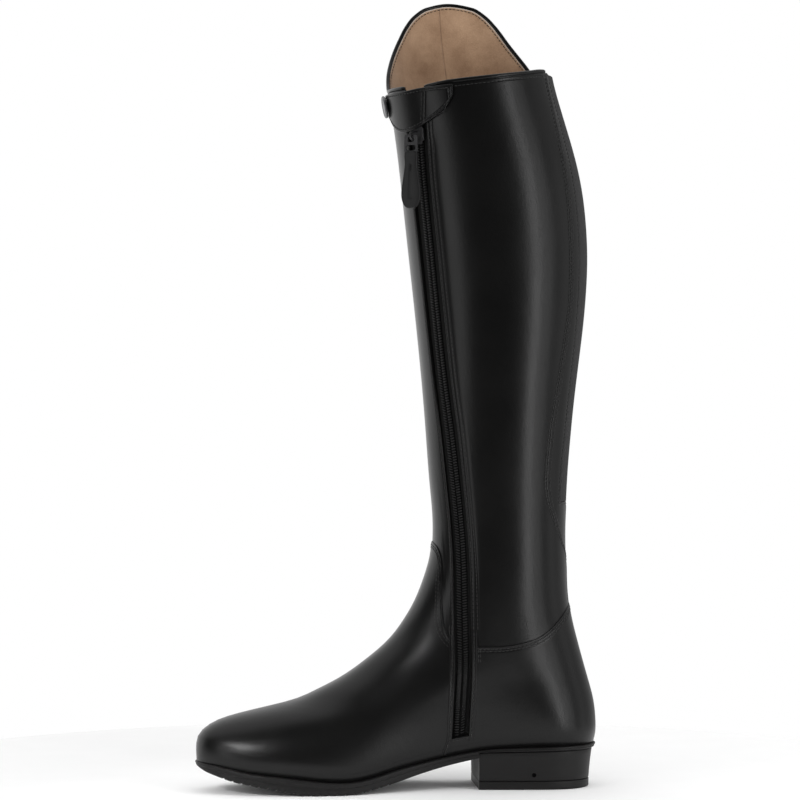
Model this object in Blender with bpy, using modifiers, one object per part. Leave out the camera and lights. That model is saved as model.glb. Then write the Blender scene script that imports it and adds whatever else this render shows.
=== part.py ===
# Dress riding boot for the right foot: a tall leather boot with a Spanish top, a zip on the inner
# side, an elastic panel at the back of the shaft and a low block heel.
# The tables are in millimetres. The toe points to -Y, the inner side to +X, up is +Z, and the
# origin is the middle of the heel's face on the floor.
import bisect
import math

import bmesh
import bpy
import numpy
from mathutils import Matrix, Vector

MM = 0.001
GAP = 0.3              # clearance between two pieces that meet
WALL = 2.0             # leather and lining of the shaft
FOOT_LIFT = 0.8        # the foot leather lies this far over the shaft leather
PANEL_DROP = 0.7       # the back panel lies this far under the shaft leather
SEAM_WIDTH = 0.7       # width of the step at a cut edge of leather

SLOT_BAND = 4.6        # stitched band of leather beside the slot
TAPE_WIDTH = 25.4
TAPE_THICK = 0.8
TAPE_GAP = 0.6         # behind the leather, whose facets differ a little from the tape's
COIL_WIDTH = 7.5
COIL_TOP = -0.8        # the zip's teeth end this far under the leather's face

SLIDER_HEIGHT = 437.0  # of the zip's slider, on the zip's line
SLIDER_WIDTH = 11.4
SLIDER_LENGTH = 12.0
SLIDER_PLATE = 1.0
SLIDER_FLANGE = 1.2    # height and width of the slider's edges beside the teeth
SLIDER_ROUND = 0.4
BRIDGE_LEG = 3.6       # from the slider's plate to the pull's axis
BRIDGE_RADIUS = 2.6
BRIDGE_WIRE = 0.75     # radius of its wire
BRIDGE_STEPS = 6       # facets of its arch

PULL_FACING = -28.0    # degrees from the inner side toward the toe
PULL_SIDESTEP = 1.1    # the pull hangs this far toward the toe on its bridge
FRAME_WIDTH = 9.6      # the pull's metal frame
FRAME_THICK = 1.2
FRAME_TOP = 0.75       # above and below the hinge axis
FRAME_BOTTOM = 11.4
EYE_HALF = 2.0         # the eye that runs on the bridge
EYE_LOW = 4.2
HOLE_TOP = 6.2         # oval hole below the eye
HOLE_LOW = 9.9
HOLE_HALF = 3.3
FRAME_ROUND = 1.2      # corner radii of the frame, its eye and its hole
EYE_ROUND = 0.6
HOLE_ROUND = 1.7
GRIP_THICK = 3.0       # the moulded grip on the frame's lower end
GRIP_ROUND = 0.7
POCKET = 9.4           # the grip's pocket for the frame starts above this drop

TAB_LIFT = 1.0         # the tab over the zip's top stands off the shaft by this much
TAB_THICK = 1.6
TAB_END = -0.105       # its end beyond the front, in turns
TAB_REAR = -57.8       # its rear edge along the foot
BUTTON_RADIUS = 7.6
BUTTON_THICK = 2.2
BUTTON_ROUND = 0.7
BUTTON_FACETS = 28
BUTTON_HEIGHT = 459.0  # of the button's middle
PIPING_RADIUS = 1.3
RIM_SPARE = 0.1        # more room for the piping where the collar turns
INSOLE_THICK = 3.0
INSOLE_INSET = 1.1
TAPE_SHORT = 2.0       # the tape ends this far under the collar

SOLE_TOE = -226.3      # front and back of the sole
SOLE_BACK = 44.8
HEEL_BREAST = -37.5    # front of the heel
BREAST_SKEW = 2.0      # the outer corner of the breast stands this far back
HEEL_INSET = 2.2       # the heel's sides stand this far inside the sole's edge
HEEL_TAPER = 2.2       # and lean in by this much more down to the floor
TOP_PIECE = 5.7        # thickness of the heel's top piece
BEVEL_HIGH = 1.0       # the bevel around its lower face
BEVEL_IN = 0.6
STEP_LEAN = 0.05       # the sole's step at the heel's front leans by this much
TREAD_PITCH = 5.8
TREAD_FLAT = 3.6
TREAD_RAMP = 5.5
TREAD_DEPTH = 0.8
TREAD_START = -214.4
TREAD_BARS = 20

BALL_IN = -138.0       # where the foot is widest on each side, and its waist and heel
BALL_OUT = -118.0
WAIST = -50.0
HEEL = 10.0
FADE_LOW = 20.0        # rings follow the sole below, and lie level above the ankle's foot
FADE_HIGH = 95.0
LEVEL_BELOW = 10.0     # the wall's thickness lies level near the sole
SMALL_TURN = 0.004     # steps for working out a slope
SMALL_RISE = 0.5
ABOVE_ALL = 560.0      # higher than the collar

# widths of the sole on the inner and outer side, and how its ends are rounded
SOLE_PLAN = {"front": SOLE_TOE, "back": SOLE_BACK, "heel_in": 33.2, "heel_out": 33.4,
             "waist_in": 29.2, "waist_out": 34.4, "ball_in": 45.4, "ball_out": 46.2,
             "nose": 0.36, "tail": 0.14, "fullness": 2.4}


class Table:
    """Rows of named sizes over a rising first column, read along a smooth curve."""

    def __init__(self, names, *rows, steady=False):
        self.keys = [row[0] for row in rows]
        self.curves = {}
        for place, name in enumerate(names.split()):
            values = [row[place] for row in rows]
            self.curves[name] = (values, self.slopes(values, steady))

    def slopes(self, values, steady):
        steps = numpy.diff(self.keys)
        rates = numpy.diff(values) / steps
        count = len(values)
        if steady:
            inner = [0.0 if a * b <= 0 else 2 * a * b / (a + b) for a, b in zip(rates, rates[1:])]
            return [rates[0], *inner, rates[-1]]
        matrix = numpy.zeros((count, count))
        right = numpy.zeros(count)
        matrix[0, :2] = (2, 1)
        matrix[-1, -2:] = (1, 2)
        right[0] = 3 * rates[0]
        right[-1] = 3 * rates[-1]
        for row in range(1, count - 1):
            before = 1 / steps[row - 1]
            after = 1 / steps[row]
            matrix[row, row - 1:row + 2] = (before, 2 * (before + after), after)
            right[row] = 3 * (rates[row - 1] * before + rates[row] * after)
        return numpy.linalg.solve(matrix, right).tolist()

    def at(self, key, name):
        values, slopes = self.curves[name]
        key = min(max(key, self.keys[0]), self.keys[-1])
        row = min(bisect.bisect_right(self.keys, key), len(self.keys) - 1) - 1
        step = self.keys[row + 1] - self.keys[row]
        t = (key - self.keys[row]) / step
        rise = values[row + 1] - values[row]
        bend = (1 - t) * (slopes[row] * step - rise) - t * (slopes[row + 1] * step - rise)
        return values[row] + t * rise + t * (1 - t) * bend


# the sole's upper and lower face from toe to heel
SOLE = Table(
    "along top",
    (-227, 20.6), (-217, 19.6), (-197, 15.7), (-167, 11.9), (-137, 8.5), (-116, 9.5), (-95, 14.9),
    (-77, 19.0), (-57, 23.2), (-37, 26.6), (0, 28.6), (46, 29.6))
TREAD = Table(
    "along bottom",
    (-227, 17.6), (-222, 14.8), (-214, 12.1), (-203, 8.8), (-190, 6.3), (-177, 4.1), (-162, 1.5),
    (-150, 0), (-128, 0), (-118, 1.2), (-95, 6.6), (-77, 12.0), (-58, 17.0), (-38, 21.6),
    steady=True)
HEEL_SEAT = Table("along bottom", (-38, 25.2), (0, 26.0), (46, 26.6))

# side view of the upper: how far forward the front and how far back the back is at each height
FRONT = Table(
    "height front",
    (20, -224.6), (28, -225.0), (33, -224.7), (38, -222.9), (43, -217.4), (48.2, -206.0),
    (53, -186.4), (58.5, -162.2), (64.5, -146.7), (71.7, -131.9), (85, -111.6), (98.4, -95.7),
    (112, -85.0), (125.5, -77.1), (139, -71.7), (153, -67.3), (166, -65.7), (180, -65.6),
    (203.5, -67.5),
    (244, -70.6), (305, -76.1), (355, -81.5), (396, -86.0), (436, -90.7), (457, -94.0),
    (475, -97.4), (540, -106.0))
BACK = Table(
    "height back",
    (29, 42.6), (36, 44.2), (43.5, 44.4), (57, 43.1), (71, 39.6), (84.4, 35.8), (98, 32.1),
    (111.6, 28.7), (125, 26.4), (139, 25.4), (152, 25.2), (173, 25.0), (193, 25.8), (213, 26.9),
    (234, 28.6), (254, 30.5), (275, 32.9), (295, 35.4), (315, 37.7), (336, 39.4), (356, 40.1),
    (376, 39.4), (397, 37.3), (417, 33.6), (437.5, 28.1), (458, 21.9), (475, 17.2), (540, 12.0))

# half widths on the inner and outer side, and the shares of the length that the round ends take
GIRTH = Table(
    "rise heel_in heel_out waist_in waist_out ball_in ball_out nose tail fullness",
    (0, 28.0, 28.0, 25.0, 29.0, 40.5, 41.5, 0.36, 0.13, 2.35),
    (6, 30.0, 30.0, 27.0, 31.5, 42.6, 43.6, 0.37, 0.14, 2.35),
    (14, 31.4, 31.4, 28.6, 33.0, 43.2, 43.8, 0.39, 0.15, 2.3),
    (25, 31.8, 31.8, 30.2, 33.6, 42.0, 42.4, 0.42, 0.17, 2.25),
    (40, 31.6, 31.6, 31.4, 33.4, 39.4, 39.4, 0.47, 0.20, 2.2),
    (60, 31.4, 31.4, 32.4, 33.2, 36.6, 36.6, 0.53, 0.26, 2.15),
    (80, 32.0, 32.0, 33.2, 33.6, 35.2, 35.2, 0.56, 0.34, 2.1),
    (100, 33.2, 33.2, 33.8, 33.8, 34.6, 34.6, 0.55, 0.42, 2.05),
    (120, 34.4, 34.4, 34.4, 34.4, 34.6, 34.6, 0.52, 0.46, 2.0),
    (150, 35.8, 35.8, 35.8, 35.8, 35.8, 35.8, 0.50, 0.49, 2.0),
    (172, 37.0, 37.0, 37.0, 37.0, 37.0, 37.0, 0.50, 0.50, 2.0),
    (226, 41.4, 41.4, 41.4, 41.4, 41.4, 41.4, 0.50, 0.50, 2.0),
    (290, 48.4, 48.4, 48.4, 48.4, 48.4, 48.4, 0.50, 0.50, 2.0),
    (345, 53.2, 53.2, 53.2, 53.2, 53.2, 53.2, 0.50, 0.50, 2.0),
    (385, 54.4, 54.4, 54.4, 54.4, 54.4, 54.4, 0.50, 0.50, 2.0),
    (435, 53.4, 53.4, 53.4, 53.4, 53.4, 53.4, 0.50, 0.50, 2.0),
    (480, 52.6, 52.6, 52.6, 52.6, 52.6, 52.6, 0.50, 0.50, 2.0),
    (540, 52.6, 52.6, 52.6, 52.6, 52.6, 52.6, 0.50, 0.50, 2.0))
CENTRE = Table("along across", (-227, 8.0), (-160, 3.0), (-110, 0.0), (-50, -1.5), (46, 0.0))

# lines on the upper: turn is 0 at the front and 1 at the back
FOOT_SEAM = Table(
    "turn height",
    (0, 165.4), (0.09, 162.6), (0.145, 156.5), (0.186, 144), (0.235, 128), (0.28, 115),
    (0.333, 105), (0.38, 99.3), (0.44, 96.4), (0.535, 96.5), (0.6, 98), (0.67, 101.3),
    (0.73, 106.5), (0.8, 113.5), (0.9, 120.5), (1, 123.5), steady=True)
TOP_IN = Table(
    "turn height",
    (0, 466.8), (0.25, 466.8), (0.37, 469.6), (0.5, 472.2), (0.7, 476.8), (0.78, 478.8),
    (0.825, 479.4), (0.838, 480.2), (0.86, 479), (1, 478.8), steady=True)
TOP_OUT = Table(
    "turn height",
    (0, 466.8), (0.03, 467.4), (0.07, 471.6), (0.12, 480), (0.17, 488.6), (0.26, 506),
    (0.305, 515.6), (0.35, 523.4), (0.405, 529.2), (0.49, 532.2), (0.575, 529.6), (0.62, 524.4),
    (0.66, 516.8), (0.715, 503.6), (0.78, 489.9), (0.825, 481), (0.838, 480.2), (0.86, 479),
    (1, 478.8), steady=True)
TAB = Table(
    "share low high",
    (0, 460, 462.5), (0.03, 455, 465.5), (0.09, 452.3, 466.4), (0.214, 450.5, 466.6),
    (0.337, 444.2, 466.6), (0.437, 440.7, 466.6), (0.518, 439.5, 466.6), (0.594, 440.2, 466.8),
    (0.671, 441.6, 467.4), (0.78, 445, 468.3), (0.884, 449.9, 468.9), (0.945, 454.4, 469.2),
    (0.98, 458.9, 469.3), (1, 462, 469.3), steady=True)
GRIP = Table(
    "drop half",
    (10.2, 3.5), (10.8, 4.3), (12, 4.7), (14.5, 4.7), (18, 4.4), (23, 4.8), (28, 5.6), (33, 6.4),
    (38, 6.9), (42, 6.6), (45, 5.6), (47, 4.2), (48.3, 2.5))
ZIP_LINE = Table(
    "height along",
    (30, -51.0), (38, -50.8), (61, -50.0), (81, -49.2), (115, -49.8), (161, -51.3), (208, -55.8),
    (240, -59.4), (271, -63.4), (301, -66.8), (340, -70.9), (360, -72.9), (390, -76.0),
    (413, -78.0), (440, -80.0), (466, -82.4))
# the zip's opening: how far the leather's front and rear edge lie from the zip's line, and how
# far the teeth lie behind it
ZIP_SLOT = Table(
    "rise front rear teeth",
    (0, 5.4, 6.4, 0), (40, 5.4, 6.4, 0), (82, 5.5, 6.0, 0), (114, 5.4, 6.1, 0.1),
    (144, 5.4, 6.6, 0.4), (174, 5.7, 7.3, 0.8), (204, 6.0, 7.8, 1.0), (264, 6.7, 8.6, 1.0),
    (324, 7.6, 9.2, 1.0), (384, 8.4, 9.0, 1.0), (425, 8.8, 8.4, 0.45), (540, 9.0, 8.2, 0.45),
    steady=True)
BACK_LINES = Table(
    "height groove elastic",
    (0, 0.80, 0.88), (100, 0.83, 0.90), (130, 0.885, 0.93), (153, 0.92, 0.955), (168, 0.858, 0.91),
    (180, 0.795, 0.86), (192, 0.745, 0.822), (207, 0.721, 0.822), (241, 0.728, 0.836),
    (268, 0.748, 0.838), (301, 0.763, 0.834), (328, 0.773, 0.829), (361, 0.771, 0.826),
    (394, 0.776, 0.828), (428, 0.792, 0.839), (455, 0.815, 0.852), (480, 0.831, 0.857),
    (540, 0.85, 0.87), steady=True)

# rows of the upper's wall, as shares of the way up to the foot seam, and then as heights
FOOT_ROWS = (0, 0.024, 0.055, 0.085, 0.118, 0.15, 0.185, 0.222, 0.265, 0.312, 0.365, 0.425,
             0.49, 0.56, 0.645, 0.74, 0.86, 1.0)
ANKLE_ROWS = (0.17, 0.358, 0.445, 0.7)
SHAFT_ROWS = (192, 213, 235, 257, 280, 304, 329, 354, 379, 403, 425, 446)
TOP_ROWS = (0.36, 0.7, 1.0)
SLOT_ROW = 4           # the zip's slot starts at this row
PANEL_ROW = 21         # the back panel's step, and the elastic's lower end
WINDOW_ROW = 23


def ease(value, low, high):
    share = min(max((value - low) / (high - low), 0.0), 1.0)
    return share * share * (3 - 2 * share)


def ring_height(rise, along):
    return GAP + rise + (1 - ease(rise, FADE_LOW, FADE_HIGH)) * SOLE.at(along, "top")


def solve(wanted, function, low, high):
    """The value between low and high where a rising function reaches what is wanted."""
    for _ in range(26):
        middle = (low + high) / 2
        if function(middle) < wanted:
            low = middle
        else:
            high = middle
    return (low + high) / 2


def side_width(along, inner, heel, waist, ball):
    """A half width at a place along the foot, from its three named widths."""
    widest = BALL_IN if inner else BALL_OUT
    front_part = ball + (waist - ball) * ease(along, widest, WAIST)
    return front_part + (heel - waist) * ease(along, WAIST, HEEL)


def plan_point(shape, turn):
    """A point of a plan outline as (across, along): turn runs from 0 at the front to 1 at the
    back over the inner side, and to -1 over the outer side."""
    if abs(turn) > 1:
        turn -= math.copysign(2, turn)
    side = "in" if turn >= 0 else "out"
    length = shape["back"] - shape["front"]
    from_front = length * (1 - math.cos(math.pi * turn)) / 2
    along = shape["front"] + from_front
    half = side_width(along, turn >= 0, shape["heel_" + side], shape["waist_" + side],
                      shape["ball_" + side])
    for reach, share in ((from_front, shape["nose"]), (length - from_front, shape["tail"])):
        short = 1 - reach / (length * share)
        if short > 0:
            half *= math.sqrt(max(1 - short ** shape["fullness"], 0.0))
    return CENTRE.at(along, "across") + math.copysign(half, turn), along


def ring_ends(rise):
    front_height = solve(rise, lambda z: z - ring_height(rise, FRONT.at(z, "front")) + rise,
                         rise, rise + 40)
    back_height = solve(rise, lambda z: z - ring_height(rise, BACK.at(z, "back")) + rise,
                        rise, rise + 40)
    return FRONT.at(front_height, "front"), BACK.at(back_height, "back")


RING_STEPS = [*range(0, 120, 3), *range(120, 541, 12)]
RING_ENDS = Table("rise front back", *((rise, *ring_ends(rise)) for rise in RING_STEPS))


def ring_shape(rise):
    shape = {name: GIRTH.at(rise, name) for name in GIRTH.curves}
    shape["front"] = RING_ENDS.at(rise, "front")
    shape["back"] = RING_ENDS.at(rise, "back")
    return shape


def last_point(rise, turn):
    across, along = plan_point(ring_shape(rise), turn)
    return Vector((across, along, ring_height(rise, along)))


def last_normal(rise, turn):
    over = last_point(rise, turn + SMALL_TURN) - last_point(rise, turn - SMALL_TURN)
    up = last_point(rise + SMALL_RISE, turn) - last_point(max(rise - SMALL_RISE, 0), turn)
    normal = over.cross(up)
    normal.z *= ease(rise, 0, LEVEL_BELOW)
    return normal.normalized()


def skin(rise, turn, lift):
    return last_point(rise, turn) + lift * last_normal(rise, turn)


def turn_at(rise, along):
    shape = ring_shape(rise)
    share = (along - shape["front"]) / (shape["back"] - shape["front"])
    return math.acos(1 - 2 * min(max(share, 0.0), 1.0)) / math.pi


def turn_for(rise, width, turn):
    """How much turn a width along the surface takes."""
    step = last_point(rise, turn + SMALL_TURN) - last_point(rise, turn - SMALL_TURN)
    return width * 2 * SMALL_TURN / step.length


def zip_turn(rise, shift=0.0):
    along = ZIP_LINE.at(ring_height(rise, WAIST), "along")
    middle = turn_at(rise, along)
    return middle + turn_for(rise, shift, middle)


def slot_turn(rise, side, beyond=0.0):
    """A line along the zip's opening: side -1 is its front edge and 1 its rear edge."""
    return zip_turn(rise, side * (ZIP_SLOT.at(rise, "front" if side < 0 else "rear") + beyond))


def back_turn(rise, name, shift=0.0):
    middle = BACK_LINES.at(ring_height(rise, 0), name)
    return middle + turn_for(rise, shift, middle)


def top_height(turn):
    table = TOP_IN if turn >= 0 else TOP_OUT
    return table.at(abs(turn), "height")


def between(first, last, share):
    """A line on the upper a share of the way from one line to another."""
    return lambda rise: first(rise) + share * (last(rise) - first(rise))


def fill(first, last, count):
    return [between(first, last, step / count) for step in range(count)]


def upper_columns():
    """The lines that the wall's columns follow, around from the front over the inner side."""
    front = lambda rise: 0.0
    band_front = lambda rise: slot_turn(rise, -1, SLOT_BAND)
    slot_front = lambda rise: slot_turn(rise, -1)
    slot_rear = lambda rise: slot_turn(rise, 1)
    band_rear = lambda rise: slot_turn(rise, 1, SLOT_BAND)
    groove = lambda rise: back_turn(rise, "groove", -SEAM_WIDTH / 2)
    panel = lambda rise: back_turn(rise, "groove", SEAM_WIDTH / 2)
    elastic = lambda rise: back_turn(rise, "elastic")
    back = lambda rise: 1.0
    inner = fill(front, band_front, 10) + [band_front, slot_front, slot_rear]
    inner += fill(band_rear, groove, 6) + [groove, panel, elastic]
    outer = fill(front, groove, 15) + [groove, panel, elastic]
    behind = fill(elastic, back, 3)[1:] + [back]
    outer_side = [lambda rise, line=line: -line(rise) for line in outer[1:] + behind[:-1]]
    lines = inner + behind + outer_side[::-1]
    back_place = lines.index(back)
    places = {
        "slot": inner.index(slot_front),
        "panel": inner.index(panel),
        "elastic": inner.index(elastic)}
    for name in ("panel", "elastic"):
        places["outer_" + name] = 2 * back_place - places[name]
    return lines, places


def seam_shift(rise, turn):
    """How far up the foot seam's step reaches, so that it is as wide where the seam slopes."""
    climb = FOOT_SEAM.at(turn + SMALL_TURN, "height") - FOOT_SEAM.at(turn - SMALL_TURN, "height")
    slope = climb / (2 * SMALL_TURN) * turn_for(rise, 1.0, turn)
    return SEAM_WIDTH * math.hypot(1, slope)


def column_rises(line):
    """How high each row of the wall crosses one line."""
    def part_way(low, share, high_of, limit):
        return solve(low, lambda rise: rise - share * (high_of(line(rise)) - low), low, limit)

    def seam_height(turn):
        return FOOT_SEAM.at(abs(turn), "height")

    rises = [part_way(0, share, seam_height, SHAFT_ROWS[0]) for share in FOOT_ROWS]
    seam = rises[-1]
    start = seam + seam_shift(seam, abs(line(seam)))
    rises.append(start)
    for share in ANKLE_ROWS:
        rises.append(start + share * (SHAFT_ROWS[0] - start))
    rises.extend(SHAFT_ROWS)
    for share in TOP_ROWS:
        rises.append(part_way(SHAFT_ROWS[-1], share, top_height, ABOVE_ALL))
    return rises


def finish_mesh(name, points, faces, material):
    """A part from points in millimetres and faces, with its loose points left out."""
    mesh = bpy.data.meshes.new(name)
    shape = bmesh.new()
    verts = [shape.verts.new(Vector(point) * MM) for point in points]
    for face in faces:
        shape.faces.new([verts[index] for index in face])
    loose = [vert for vert in shape.verts if not vert.link_faces]
    bmesh.ops.delete(shape, geom=loose, context="VERTS")
    bmesh.ops.recalc_face_normals(shape, faces=shape.faces)
    shape.to_mesh(mesh)
    shape.free()
    return add_part(name, mesh, material)


def add_part(name, mesh, material, smooth=35):
    part = bpy.data.objects.new(name, mesh)
    BOOT.objects.link(part)
    mesh.materials.clear()
    mesh.materials.append(material)
    mesh.shade_smooth()
    mesh.set_sharp_from_angle(angle=math.radians(smooth))
    return part


def shell(name, outer, inner, material, skipped=(), closed=False):
    """A wall between two grids of points, open where cells are skipped. Every cell is split along
    the same diagonal, so that walls over one another stay parallel."""
    rows = len(outer)
    columns = len(outer[0])
    cells = {(row, column) for row in range(rows - 1)
             for column in range(columns if closed else columns - 1)} - set(skipped)
    points = [point for grid in (outer, inner) for line in grid for point in line]

    def corner(row, column, layer):
        return layer * rows * columns + row * columns + column % columns

    faces = []
    for row, column in cells:
        square = [(row, column), (row, column + 1), (row + 1, column + 1), (row + 1, column)]
        for half in (square[:3], square[2:] + square[:1]):
            faces.append([corner(*place, 0) for place in half])
            faces.append([corner(*place, 1) for place in reversed(half)])
        sides = [(row - 1, column), (row, column + 1), (row + 1, column), (row, column - 1)]
        for index, (beside_row, beside_column) in enumerate(sides):
            beside = (beside_row, beside_column % columns if closed else beside_column)
            if beside not in cells:
                start = square[index]
                end = square[(index + 1) % 4]
                faces.append([corner(*end, 0), corner(*start, 0), corner(*start, 1),
                              corner(*end, 1)])
    return finish_mesh(name, points, faces, material)


def patch(name, lines, rises_of, low_lift, high_lift, material):
    """A sheet that lies over part of the upper, from lift to lift."""
    rises = [rises_of(line) for line in lines]
    grids = [[[skin(rises[column][row], line(rises[column][row]), lift)
               for column, line in enumerate(lines)]
              for row in range(len(rises[0]))]
             for lift in (high_lift, low_lift)]
    return shell(name, grids[0], grids[1], material)


def build_upper():
    lines, places = upper_columns()
    rises = [column_rises(line) for line in lines]
    seam_row = len(FOOT_ROWS) - 1
    outer = []
    inner = []
    for row in range(len(rises[0])):
        outer_line = []
        inner_line = []
        for column, line in enumerate(lines):
            rise = rises[column][row]
            turn = line(rise)
            in_panel = places["panel"] <= column <= places["outer_panel"]
            lift = FOOT_LIFT if row <= seam_row else 0.0
            if row >= PANEL_ROW and in_panel:
                lift = -PANEL_DROP
            outer_line.append(skin(rise, turn, lift))
            inner_line.append(skin(rise, turn, -WALL))
        outer.append(outer_line)
        inner.append(inner_line)
    skipped = set()
    for row in range(len(outer) - 1):
        if row >= SLOT_ROW:
            skipped.add((row, places["slot"]))
        if row >= WINDOW_ROW:
            skipped.update(
                (row, column) for column in range(places["elastic"], places["outer_elastic"]))
    return shell("upper", outer, inner, MATERIALS["black_leather"], skipped, closed=True)


def fold(turn):
    """The same place on the outer side for a line that runs on past the back."""
    return turn - 2 if turn > 1 else turn


def build_elastic():
    lines = [
        lambda rise: back_turn(rise, "elastic", GAP),
        *fill(lambda rise: back_turn(rise, "elastic"), lambda rise: 1.0, 3)[1:],
        lambda rise: 1.0]
    lines += [lambda rise, line=line: 2 - line(rise) for line in lines[-2::-1]]

    def rises_of(line):
        rises = column_rises(lambda rise: fold(line(rise)))[WINDOW_ROW:]
        rises[0] += GAP
        return rises

    patch("elastic_panel", lines, rises_of, -WALL, -PANEL_DROP, MATERIALS["black_elastic"])


def teeth_lines():
    return [lambda rise, width=width: zip_turn(rise, ZIP_SLOT.at(rise, "teeth") + width)
            for width in (-COIL_WIDTH / 2, COIL_WIDTH / 2)]


def tape_lines():
    """Across the zip's tape, with the lines of the teeth and of the leather's edges, so that the
    pieces have matching facets."""
    return [
        lambda rise: zip_turn(rise, -TAPE_WIDTH / 2), lambda rise: slot_turn(rise, -1),
        *teeth_lines(),
        lambda rise: slot_turn(rise, 1), lambda rise: zip_turn(rise, TAPE_WIDTH / 2)]


def build_zip():
    def tape_rises(line):
        rises = column_rises(line)[SLOT_ROW - 1:]
        rises[-1] -= TAPE_SHORT
        return rises

    def coil_rises(line):
        rises = column_rises(line)[SLOT_ROW:1 - len(TOP_ROWS)]
        rises[0] += GAP
        return rises

    tape_face = -WALL - TAPE_GAP
    patch("zip_tape", tape_lines(), tape_rises, tape_face - TAPE_THICK, tape_face,
          MATERIALS["black_tape"])
    patch("zip_coil", teeth_lines(), coil_rises, tape_face + GAP, COIL_TOP,
          MATERIALS["black_coil"])


def build_tab():
    end = lambda rise: TAB_END
    rear = lambda rise: turn_at(rise, TAB_REAR)
    shares = TAB.keys
    lines = [between(end, rear, share) for share in shares]
    spread = (0, 0.5, 1)

    def rises_of(line):
        share = shares[lines.index(line)]
        low = TAB.at(share, "low")
        high = TAB.at(share, "high")
        return [low + part * (high - low) for part in spread]

    patch("zip_tab", lines, rises_of, TAB_LIFT, TAB_LIFT + TAB_THICK, MATERIALS["black_leather"])


def build_button():
    normal = last_normal(BUTTON_HEIGHT, 0)
    middle = skin(BUTTON_HEIGHT, 0, TAB_LIFT + TAB_THICK + GAP + BUTTON_THICK / 2)
    mesh = bpy.data.meshes.new("snap_button")
    shape = bmesh.new()
    bmesh.ops.create_cone(shape, cap_ends=True, segments=BUTTON_FACETS,
                          radius1=BUTTON_RADIUS * MM, radius2=BUTTON_RADIUS * MM,
                          depth=BUTTON_THICK * MM)
    shape.to_mesh(mesh)
    shape.free()
    button = add_part("snap_button", mesh, MATERIALS["dark_metal"])
    button.matrix_world = (Matrix.Translation(middle * MM)
                           @ normal.to_track_quat("Z", "Y").to_matrix().to_4x4())
    bevel = button.modifiers.new("rounded_rim", "BEVEL")
    bevel.width = BUTTON_ROUND * MM
    bevel.limit_method = "ANGLE"


def tube(name, points, radius, material, resolution=2):
    """A round cord or wire along points, as a closed mesh."""
    curve = bpy.data.curves.new(name, "CURVE")
    curve.dimensions = "3D"
    curve.bevel_depth = radius * MM
    curve.bevel_resolution = resolution
    curve.use_fill_caps = True
    line = curve.splines.new("POLY")
    line.points.add(len(points) - 1)
    for knot, point in zip(line.points, points):
        knot.co = (*(Vector(point) * MM), 1)
    return curve_part(name, curve, material)


def curve_part(name, curve, material):
    guide = bpy.data.objects.new(name + "_curve", curve)
    bpy.context.scene.collection.objects.link(guide)
    bpy.context.view_layer.update()
    mesh = bpy.data.meshes.new_from_object(guide.evaluated_get(
        bpy.context.evaluated_depsgraph_get()))
    shape = bmesh.new()
    shape.from_mesh(mesh)
    bmesh.ops.remove_doubles(shape, verts=shape.verts, dist=0.002 * MM)
    bmesh.ops.recalc_face_normals(shape, faces=shape.faces)
    shape.to_mesh(mesh)
    shape.free()
    bpy.data.objects.remove(guide)
    return add_part(name, mesh, material)


def build_piping():
    lines, places = upper_columns()
    slot = places["slot"]
    inner = lines[slot + 1:places["panel"]]
    outer = lines[places["outer_panel"] + 1:] + lines[:slot + 1]
    for name, run in (("collar_piping_inner", inner), ("collar_piping_outer", outer)):
        rises = [column_rises(line)[-1] for line in run]
        rim = [skin(rise, line(rise), -WALL / 2) for rise, line in zip(rises, run)]
        points = []
        for place, point in enumerate(rim):
            along_rim = rim[min(place + 1, len(rim) - 1)] - rim[max(place - 1, 0)]
            normal = last_normal(rises[place], run[place](rises[place]))
            away = normal.cross(along_rim).normalized()
            away *= math.copysign(GAP + PIPING_RADIUS + RIM_SPARE, away.z)
            points.append(point + away)
        tube(name, points, PIPING_RADIUS, MATERIALS["black_leather"])


def sole_edge(turn, out):
    """A point beside the sole's outline, moved outward."""
    before = plan_point(SOLE_PLAN, turn - SMALL_TURN)
    after = plan_point(SOLE_PLAN, turn + SMALL_TURN)
    across, along = plan_point(SOLE_PLAN, turn)
    over = after[0] - before[0]
    back = after[1] - before[1]
    length = math.hypot(over, back)
    return across + out * back / length, along - out * over / length


def sole_turn(along):
    share = (along - SOLE_TOE) / (SOLE_BACK - SOLE_TOE)
    return math.acos(1 - 2 * min(max(share, 0.0), 1.0)) / math.pi


def ladder(name, stations, material):
    """A solid across the foot: each station has its edge points from top to bottom on the inner
    side and on the outer side, and a station with both alike is a rounded end."""
    levels = len(stations[0][0])
    points = [point for station in stations for side in station for point in side]

    def corner(station, side, level):
        return (station * 2 + side) * levels + level

    faces = []
    for station in range(len(stations) - 1):
        for level in range(levels - 1):
            for side in (0, 1):
                faces.append([corner(station, side, level), corner(station + 1, side, level),
                              corner(station + 1, side, level + 1),
                              corner(station, side, level + 1)])
        for level in (0, levels - 1):
            faces.append([corner(station, 0, level), corner(station + 1, 0, level),
                          corner(station + 1, 1, level), corner(station, 1, level)])
    for station in (0, len(stations) - 1):
        for level in range(levels - 1):
            faces.append([corner(station, 0, level), corner(station, 1, level),
                          corner(station, 1, level + 1), corner(station, 0, level + 1)])
    mesh = bpy.data.meshes.new(name)
    shape = bmesh.new()
    verts = [shape.verts.new(Vector(point) * MM) for point in points]
    for face in faces:
        shape.faces.new([verts[index] for index in face])
    bmesh.ops.remove_doubles(shape, verts=shape.verts, dist=0.001 * MM)
    bmesh.ops.recalc_face_normals(shape, faces=shape.faces)
    shape.to_mesh(mesh)
    shape.free()
    return add_part(name, mesh, material)


# the sole's side from its upper to its lower edge: a welt band stands out over the tread's side
SOLE_SIDE = ((0.0, -0.8), (0.1, 0.0), (0.4, 0.0), (0.46, -0.5), (0.85, -0.6), (1.0, -1.5))


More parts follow.
